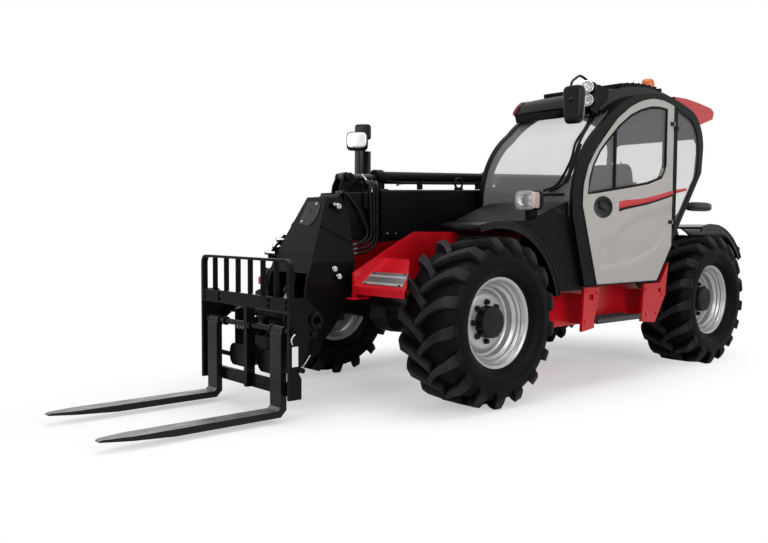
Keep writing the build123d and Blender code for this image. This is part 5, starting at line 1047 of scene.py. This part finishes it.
# Pin of the extension cylinder's rod, in its bracket on the inner beam.
pin_caps = shell("extension_pin_caps", [
    spun([(-0.002, 0), (-0.002, 0.034), (0.010, 0.034), (0.012, 0.030), (0.012, 0.012), (0.018, 0.010),
          (0.018, 0)], boom_at(220, side * 64, 300), (0, side, 0), 32) for side in (1, -1)], cast_black, 40)
knee_bracket = shell("hose_bracket", [
    plate([(372, 1432), (372, 1556), (398, 1572), (436, 1558), (462, 1540), (462, 1452), (440, 1432)],
          1, 168, 176)], black_enamel, 30, 0.002)
for piece in (pin_caps, knee_bracket):
    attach(piece, "boom_inner")

# ---------------------------------------------------------- boom-nose hoses
# Rubber hydraulic hoses, braided with steel inside and ribbed by their cover,
# with plated ends. They run from the extension bracket down into the head.
hose_rubber = textured("ribbed_hydraulic_hose_rubber", "TexWave", {"Scale": 60.0, "Distortion": 1.0},
                       ("#050506", "#0c0c0d"), (0.42,), (0.3, 0.0008), {"Specular IOR Level": 0.12},
                       bands_direction="Z")

HOSES = (
    ((330, 150, 1640), (345, 186, 1600), (352, 190, 1500), (350, 190, 1340), (352, 188, 1200),
     (420, 176, 1120), (560, 150, 1090)),
    ((352, 128, 1650), (378, 184, 1606), (384, 190, 1500), (380, 190, 1340), (378, 188, 1210),
     (440, 176, 1146), (560, 150, 1125)),
    ((380, 110, 1650), (408, 172, 1616), (414, 186, 1540), (410, 188, 1380), (404, 188, 1240),
     (460, 176, 1180), (560, 150, 1160)),
    ((684, 118, 1552), (640, 140, 1556), (574, 158, 1500), (512, 172, 1420), (462, 182, 1330),
     (440, 184, 1240), (500, 172, 1180), (570, 150, 1150)),
    ((330, -150, 1640), (345, -186, 1600), (352, -190, 1500), (350, -190, 1340), (352, -188, 1200),
     (420, -176, 1120), (560, -150, 1090)))
nose_hoses = shell("boom_nose_hoses", [tube(row(route), 0.0115, 12, 6) for route in HOSES], hose_rubber, 60)
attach(nose_hoses, "boom_inner")
ends = []
for route in HOSES:
    for near, far in ((0, 1), (-1, -2)):
        ahead = np.subtract(route[far], route[near]) / np.linalg.norm(np.subtract(route[far], route[near]))
        ends.append(spun([(-0.006, 0), (-0.006, 0.013), (0.014, 0.013), (0.014, 0.0155), (0.036, 0.0155),
                          (0.038, 0.0125), (0.044, 0.0115)], row(route[near]), ahead, 6))
# The plated hose ends are painted dark the same way: a painted dark reflection.
hose_ends = shell("hose_end_fittings", ends, steel_painted_dark_reflection, 30)
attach(hose_ends, "boom_inner")
pipe_straps = shell("hose_straps", [
    block((334, 428), (174, 204), (z - 9, z + 9)) for z in (1290, 1420)], grained_plastic, 30, 0.003)
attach(pipe_straps, "boom_inner")
swing_link = shell("boom_nose_lever", [
    tube(row([(384, 44, 1706), (366, 72, 1668), (352, 108, 1624), (350, 132, 1580), (352, 140, 1540)]),
         0.007, 10, 6)], chrome, 60)
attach(swing_link, "boom_inner")


# --------------------------------------------------------------- boom head
# Folded steel plates welded round the inner beam's nose. Heavier plates lie
# over its upper sides, a cover closes its front, and it carries the oil couplings.
def head_side(x, z, side, out=0.0):
    """A point of the head's flared side: |y| = 117 + 0.2639 (1545 - z) above the
    flare's end at 1041 mm, and 250 below it, plus out."""
    y = np.where(np.asarray(z) > 1041, 117 + 0.26389 * (1545 - np.asarray(z)), 250) + out
    return np.stack([np.asarray(x, float), side * y, np.asarray(z, float)], -1)


TILT_PIN = (698, 1448)
SIDE_PIN = (748, 1455)
cheeks, rings, caps = [], [], []
CHEEK = np.array([(608, 1176), (606, 1500), (654, 1540), (672, 1518), (776, 1514), (852, 1360), (890, 1306)])
for side in (1, -1):
    layers = [head_side(CHEEK[:, 0], CHEEK[:, 1], side, out) for out in (0.3, 7)]
    cheeks.append(lofted(row(np.stack(layers))))
    boss = row(head_side(*TILT_PIN, side, 7))
    rings.append(spun([
        (0, 0.026), (0.012, 0.026), (0.014, 0.029), (0.014, 0.040), (0.011, 0.044), (0, 0.044)],
        boss, (0, side, 0.25), 40))
    caps.append(spun([(0, 0.024), (0.016, 0.024), (0.020, 0.020), (0.020, 0)], boss, (0, side, 0.25), 32))
    rings.append(spun([(0, 0.020), (0.024, 0.020), (0.027, 0.017), (0.027, 0)],
                      row(head_side(*SIDE_PIN, side, 7)), (0, side, 0.25), 24))
head_cheeks = shell("head_side_plates", cheeks, black_enamel, 30, 0.0025)
head_rings = shell("tilt_pin_bosses", rings, black_enamel, 35)
head_caps = shell("tilt_pin_ends", caps + [
    spun([(0.026, 0), (0.026, 0.013), (0.034, 0.013), (0.036, 0.011), (0.036, 0)],
         row(head_side(*SIDE_PIN, side, 7)), (0, side, 0.25), 6) for side in (1, -1)],
    chrome, 35)

cover_enamel = sprayed_paint("worn_black_cover_enamel", "#1e1e1f", "#161617", 0.36, 0.3)
# the front face slopes forward as it goes down: along it, and out of it
face_down = np.array([0.4399, 0, -0.8981])
face_out = np.array([0.8981, 0, 0.4399])
face_top = row((779, 0, 1520))
turn = np.linspace(-pi / 2, pi / 2, 15)
rounded_end = np.stack([0.026 + 0.078 * np.cos(turn), 0.140 + 0.102 * np.sin(turn)], -1)
cover_edge = np.concatenate([[(-0.094, 0.225), (-0.086, 0.042)], rounded_end])
flat = face_top + cover_edge[:, :1] * np.array([0, 1, 0]) + cover_edge[:, 1:] * face_down
cover = shell("head_front_cover", [
    lofted(np.stack([flat + 0.0005 * face_out, flat + 0.0055 * face_out]))], cover_enamel, 30, 0.0015)
cover_bolts = hex_heads("head_cover_bolts", [
    face_top + (0, y, 0) + along * face_down + 0.0055 * face_out
    for y, along in ((0.040, 0.062), (-0.060, 0.206))],
    face_out, chrome, 0.016, 0.006)
# A slot in the cover, drawn as a thin dark oval on its face: painted shade for the opening.
oval = np.radians(np.arange(0, 360, 18))
slot_edge = face_top + np.stack([0 * oval, -0.002 + 0.009 * np.cos(oval), 0 * oval], -1) + (
    0.120 + 0.022 * np.sin(oval))[:, None] * face_down
cover_opening_shade = shell("head_cover_opening_shade", [
    lofted(np.stack([slot_edge + 0.0050 * face_out, slot_edge + 0.0062 * face_out]))], seal_rubber)

# Flat-faced oil couplings on both sides: plated bodies with knurled sleeves.
COUPLING = [(-0.012, 0), (-0.012, 0.016), (0.010, 0.016), (0.012, 0.020), (0.040, 0.020), (0.042, 0.017),
            (0.046, 0.0175), (0.060, 0.0175), (0.063, 0.015), (0.063, 0.007), (0.056, 0.006), (0.056, 0)]
couplings = [spun(COUPLING, row((x, 250, z)), (0.45, 1, -0.12), 24) for x, z in ((812, 1000), (772, 944))]
couplings += [spun(COUPLING, row(at), (0.80, -0.35, 0.10), 24)
              for at in ((896, -262, 1192), (1000, -262, 1096), (930, -262, 1140))]
quick_couplings = shell("oil_quick_couplings", couplings, chrome, 35)
coupling_plate = shell("oil_coupling_bracket", [
    plate([(862, 1232), (900, 1236), (1040, 1090), (1040, 1050), (1000, 1044), (862, 1180)], 1, -268, -256)],
    black_enamel, 30, 0.002)
SIDE_HOSES = (
    ((900, -262, 1190), (858, -282, 1176), (880, -296, 1100), (960, -292, 1010), (1040, -280, 930),
     (1064, -260, 850)),
    ((930, -262, 1140), (896, -280, 1110), (910, -300, 1040), (960, -300, 960), (1020, -286, 880),
     (1040, -262, 800)),
    ((1000, -262, 1096), (960, -284, 1070), (960, -296, 1010), (1010, -292, 940), (1060, -284, 880),
     (1070, -262, 820)))
side_hoses = shell("head_side_hoses", [
    tube(row(route), 0.013, 12, 6) for route in SIDE_HOSES], hose_rubber, 60)
for piece, slot in ((head_cheeks, "black_paint"), (head_rings, "black_paint"), (head_caps, "worn_steel"),
                    (cover, "black_paint"), (cover_bolts, "worn_steel"), (cover_opening_shade, "black_plastic"),
                    (quick_couplings, "worn_steel"), (coupling_plate, "black_paint"),
                    (side_hoses, "black_plastic")):
    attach(piece, "boom_inner")


# ----------------------------------------------- coupler, carriage, backrest
# Flame-cut plates and round bar, welded and enamelled black. The coupler's hooks
# take the carriage's tube, and its lock pins slide into the carriage's sides.
coat(black_enamel, "coupler", "fork_carriage", "load_backrest")
label_vinyl = moulded_plastic("blank_white_vinyl_label", "#e2e2e0", "#d6d6d3", 0.35, 0.4, 200.0, 0.1)
CARRIAGE_SIDE = 585
label = shell("blank_label", [plate([(1358, 384), (1358, 516), (1406, 516), (1406, 384)],
                                    1, CARRIAGE_SIDE + 0.2, CARRIAGE_SIDE + 1.2)], label_vinyl)
HOOK_RING = [(0, 0.052), (0.018, 0.052), (0.022, 0.048), (0.022, 0.032), (0.018, 0.0285), (-0.02, 0.0285)]
# ahead of the front axle, height, number of sides, profile
KNOBS = (
    (1384, 606, 32, [(0, 0), (0, 0.036), (0.014, 0.036), (0.017, 0.032), (0.017, 0.016), (0.026, 0.015),
                     (0.026, 0)]),
    (1232, 590, 32, [(0, 0), (0, 0.024), (0.012, 0.024), (0.015, 0.020), (0.015, 0)]),
    (1344, 360, 24, [(0, 0), (0, 0.016), (0.010, 0.016), (0.012, 0.012), (0.012, 0)]))
tube_rings, knobs = [], []
for side in (1, -1):
    tube_rings.append(spun(HOOK_RING, row((1217, side * CARRIAGE_SIDE, 677)), (0, side, 0), 48))
    knobs += [spun(profile, row((x, side * CARRIAGE_SIDE, z)), (0, side, 0), sides)
              for x, z, sides, profile in KNOBS]
carriage_rings = shell("hook_tube_rings", tube_rings, black_enamel, 35)
side_knobs = shell("carriage_rollers_and_bosses", knobs, black_enamel, 35)
# Slots in the carriage's sides, drawn as thin dark ovals: painted shade for the openings.
slot_shape = np.stack([1390 + 8 * np.cos(oval), 681 + 26 * np.sin(oval)], -1)
side_opening_shades = shell("carriage_side_opening_shades", [
    plate(slot_shape, 1, *sorted((side * CARRIAGE_SIDE, side * (CARRIAGE_SIDE + 0.8))))
    for side in (1, -1)], seal_rubber)
latch = shell("fork_lock_latch", [
    tube(row([(1384, 604, 606), (1412, 606, 588), (1424, 606, 560), (1416, 606, 535)]), 0.006, 10, 6),
    tube(row([(1263, 588, 449), (1285, 596, 430), (1306, 592, 400), (1324, 588, 380)]), 0.004, 8, 6)],
    chrome, 60)
collars = shell("fork_shaft_collars", [
    spun([(-0.013, 0.020), (-0.013, 0.030), (-0.010, 0.032), (0.010, 0.032), (0.013, 0.030), (0.013, 0.020)],
         row((1390, y, 609)), (0, 1, 0), 32) for y in (-500, -283, 66, 330, 548)], black_enamel, 40)
beam_bolts = hex_heads("backrest_bolts", row([
    (1428, y, z) for y in (-540, -330, 330, 540) for z in (768, 806)]), (1, 0, 0), black_enamel,
    0.024, 0.010)
for piece, slot in ((label, "lamp_plastic"), (carriage_rings, "black_paint"), (side_knobs, "black_paint"),
                    (side_opening_shades, "black_plastic"), (latch, "worn_steel"), (collars, "black_paint"),
                    (beam_bolts, "black_paint")):
    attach(piece, "carriage")
carriage_couplings = shell("coupler_oil_fittings", [
    spun(COUPLING, row((1262, y, 560)), (1, 0, 0.15), 24) for y in (-250, -210, 210)], chrome, 35)
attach(carriage_couplings, "carriage")


# ------------------------------------------------------------------- forks
# Forged steel under thin black paint. The upper faces of the blades, and the
# lower ends of the shanks, are worn bright by pallets.
fork_finish = new_finish("black_forged_steel_worn_bright")
place = add_node(fork_finish, "TexCoord")
split = add_node(fork_finish, "SeparateXYZ", {0: place.outputs["Object"]})
shape = add_node(fork_finish, "NewGeometry")
facing = add_node(fork_finish, "SeparateXYZ", {0: shape.outputs["Normal"]})
up_face = add_node(fork_finish, "MapRange", {
    "Value": facing.outputs["Z"], "From Min": 0.5, "From Max": 0.9})
scrape = add_node(fork_finish, "Mapping", {"Vector": place.outputs["Object"], "Scale": (2.5, 60.0, 12.0)})
marks = add_node(fork_finish, "TexNoise", {"Vector": scrape.outputs[0], "Scale": 2.0, "Detail": 5.0})
scraped = add_node(fork_finish, "MapRange", {
    "Value": marks.outputs["Fac"], "From Min": 0.36, "From Max": 0.58})
worn = add_node(fork_finish, "Math", {0: up_face.outputs[0], 1: scraped.outputs[0]}, operation="MULTIPLY")
low = add_node(fork_finish, "MapRange", {"Value": split.outputs["Z"], "From Min": 0.40, "From Max": 0.28})
worn_low = add_node(fork_finish, "Math", {0: worn.outputs[0], 1: low.outputs[0]}, operation="MULTIPLY")
tone = add_node(fork_finish, "Mix", {
    "Factor": worn_low.outputs[0], "A": linear("#0c0c0d"), "B": linear("#a2a3a4")}, data_type="RGBA")
rough = add_node(fork_finish, "MapRange", {"Value": marks.outputs["Fac"], "To Min": 0.30, "To Max": 0.48})
skin = add_node(fork_finish, "BsdfPrincipled", {
    "Base Color": tone.outputs["Result"], "Metallic": worn_low.outputs[0], "Roughness": rough.outputs[0],
    "Specular IOR Level": 0.2})
add_node(fork_finish, "OutputMaterial", {"Surface": skin.outputs[0]})
coat(fork_finish, "fork_left", "fork_right")


# ------------------------------------------------------------ driver's seat
# A suspension seat: foam cushions, fuller in the middle, in woven cloth with
# sewn channels and piped edges, on a grained plastic base with a bellows.
cloth = new_finish("woven_grey_seat_cloth")
place = add_node(cloth, "TexCoord")
warp, weft = (
    add_node(cloth, "TexWave", {"Vector": place.outputs["Object"], "Scale": 100.0, "Distortion": 0.3},
             bands_direction=bands)
    for bands in ("Y", "DIAGONAL"))
weave = add_node(cloth, "Math", {0: warp.outputs["Fac"], 1: weft.outputs["Fac"]}, operation="MULTIPLY")
tone = add_node(cloth, "Mix", {"Factor": weave.outputs[0], "A": linear("#17181a"), "B": linear("#34363a")},
                data_type="RGBA")
relief = add_node(cloth, "Bump", {"Height": weave.outputs[0], "Strength": 0.5, "Distance": 0.0008})
skin = add_node(cloth, "BsdfPrincipled", {
    "Base Color": tone.outputs["Result"], "Roughness": 0.85, "Normal": relief.outputs["Normal"],
    "Sheen Weight": 0.25, "Sheen Roughness": 0.4, "Specular IOR Level": 0.2})
add_node(cloth, "OutputMaterial", {"Surface": skin.outputs[0]})


def cushion(name, centre, half, tilt, channels, rows=48, columns=72):
    """A stuffed pad: a rounded box whose sides pull in at mid-height between the
    corners and whose upper face crowns by 12 per cent, less a groove 5 mm deep at
    each sewn channel across it; then tilted about its width."""
    u, v = ball_angles(rows, columns)
    x = signed_power(np.cos(v), 0.35) * signed_power(np.cos(u), 0.3)
    y = signed_power(np.cos(v), 0.35) * signed_power(np.sin(u), 0.3)
    z = signed_power(np.sin(v), 0.5) + 0 * u
    crown = 1 + 0.12 * (1 - x ** 2) * (1 - y ** 2)
    groove = sum(np.exp(-((x - at) / 0.035) ** 2) for at in channels)
    pull = 1 - 0.05 * (1 - np.abs(z)) * (1 - np.abs(x * y))
    points = np.stack([
        half[0] * x * pull, half[1] * y * pull, half[2] * z * crown - 6 * groove * (z > 0.6)], -1)
    turned_points = points.copy()
    turned_points[..., 0] = points[..., 0] * cos(tilt) - points[..., 2] * sin(tilt)
    turned_points[..., 2] = points[..., 0] * sin(tilt) + points[..., 2] * cos(tilt)
    pad = shell(name, [(row(turned_points + centre), False, True, False)], cloth, 60)
    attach(pad, "chassis")
    return pad


SEAT_Y = 685
seat_pad = cushion("seat_cushion", (-1725, SEAT_Y, 1236), (232, 228, 44), radians(-3), (-0.42, 0.30))
cushion("seat_backrest", (-2040, SEAT_Y, 1575), (312, 222, 46), radians(-98), (-0.45, 0.0, 0.45))
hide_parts("seat")
fold = np.linspace(0, 1, 41)[:, None]
corner = np.linspace(0, 2 * pi, 40, endpoint=False)[None, :]
spread = 1 - 0.05 * np.cos(fold * 2 * pi * 5)
bellows_points = np.stack([
    -1755 + 178 * spread * signed_power(np.cos(corner), 0.25),
    SEAT_Y + 184 * spread * signed_power(np.sin(corner), 0.25), 895 + 285 * fold + 0 * corner], -1)
seat_base = shell("seat_suspension_bellows", [(row(bellows_points), False, True, True)], seal_rubber, 50)
arms = shell("seat_armrests", [
    rounded_box((-1800, y, 1400), (0.150, 0.026, 0.024), 0.4) for y in (476, 894)], grained_plastic, 50)
posts = shell("seat_headrest_posts", [
    tube(row([(-2100, y, 1840), (-2112, y, 1890), (-2120, y, 1908)]), 0.007, 10, 4)
    for y in (640, 730)], chrome, 60)
for piece, slot in ((seat_base, "black_plastic"), (arms, "black_plastic"), (posts, "worn_steel")):
    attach(piece, "chassis")
dash = shell("dashboard", [plate([
    (-1010, 890), (-1190, 890), (-1190, 1250), (-1240, 1400), (-1200, 1440), (-1040, 1420), (-905, 1390)],
    1, 300, 1080)], grained_plastic, 30, 0.012)
side_lining = shell("cab_side_lining", [
    plate([(-860, 1440), (-900, 1640), (-1000, 1740), (-2050, 1790), (-2050, 1440)], 1, 264, 270)],
    grained_plastic, 30, 0.002)
for piece in (dash, side_lining):
    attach(piece, "chassis")


# -------------------------------------------------------------- engine side
# The hood is pressed steel in the door's warm grey, louvred. Behind the louvres
# is woven wire, and black rubber seals its lower edge.
coat(warm_grey, "engine_hood")
wire = new_finish("wire_mesh_cells_painted_shade")
place = add_node(wire, "TexCoord")
# The mesh is one flat sheet: dark grey lines of wire, and near-black cells between them, painted shade for
# the engine bay seen through the holes.
grid = add_node(wire, "TexBrick", {
    "Vector": place.outputs["Object"], "Color1": linear("#020202"), "Color2": linear("#020202"),
    "Mortar": linear("#232324"), "Scale": 60.0, "Mortar Size": 0.03})
skin = add_node(wire, "BsdfPrincipled", {
    "Base Color": grid.outputs["Color"], "Roughness": 0.6, "Specular IOR Level": 0.15})
add_node(wire, "OutputMaterial", {"Surface": skin.outputs[0]})
hood_mesh = shell("hood_wire_mesh", [plate([
    (-2180, 900), (-910, 900), (-910, 1160), (-2180, 1160)], 1, -1122, -1119)], wire)
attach(hood_mesh, "hood")
BLADE = np.array([(-42, -14), (42, -14), (42, -8), (-42, -8)])  # from its middle, ahead and up
louvres = [plate(BLADE + (x, z), 1, -1150, -1128)
           for x in range(-2105, -984, 140) for z in (940, 990, 1040, 1090, 1140)]
hood_louvres = shell("hood_louvre_blades", louvres, grained_plastic, 30)
hood_latches = shell("hood_latches", [
    spun([(0, 0), (0, 0.026), (0.006, 0.026), (0.009, 0.022), (0.009, 0)],
         row((x, -1150, 868)), (0, -1, 0), 32) for x in (-2150, -950)], glossy_plastic, 40)
for piece in (hood_louvres, hood_latches):
    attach(piece, "hood")
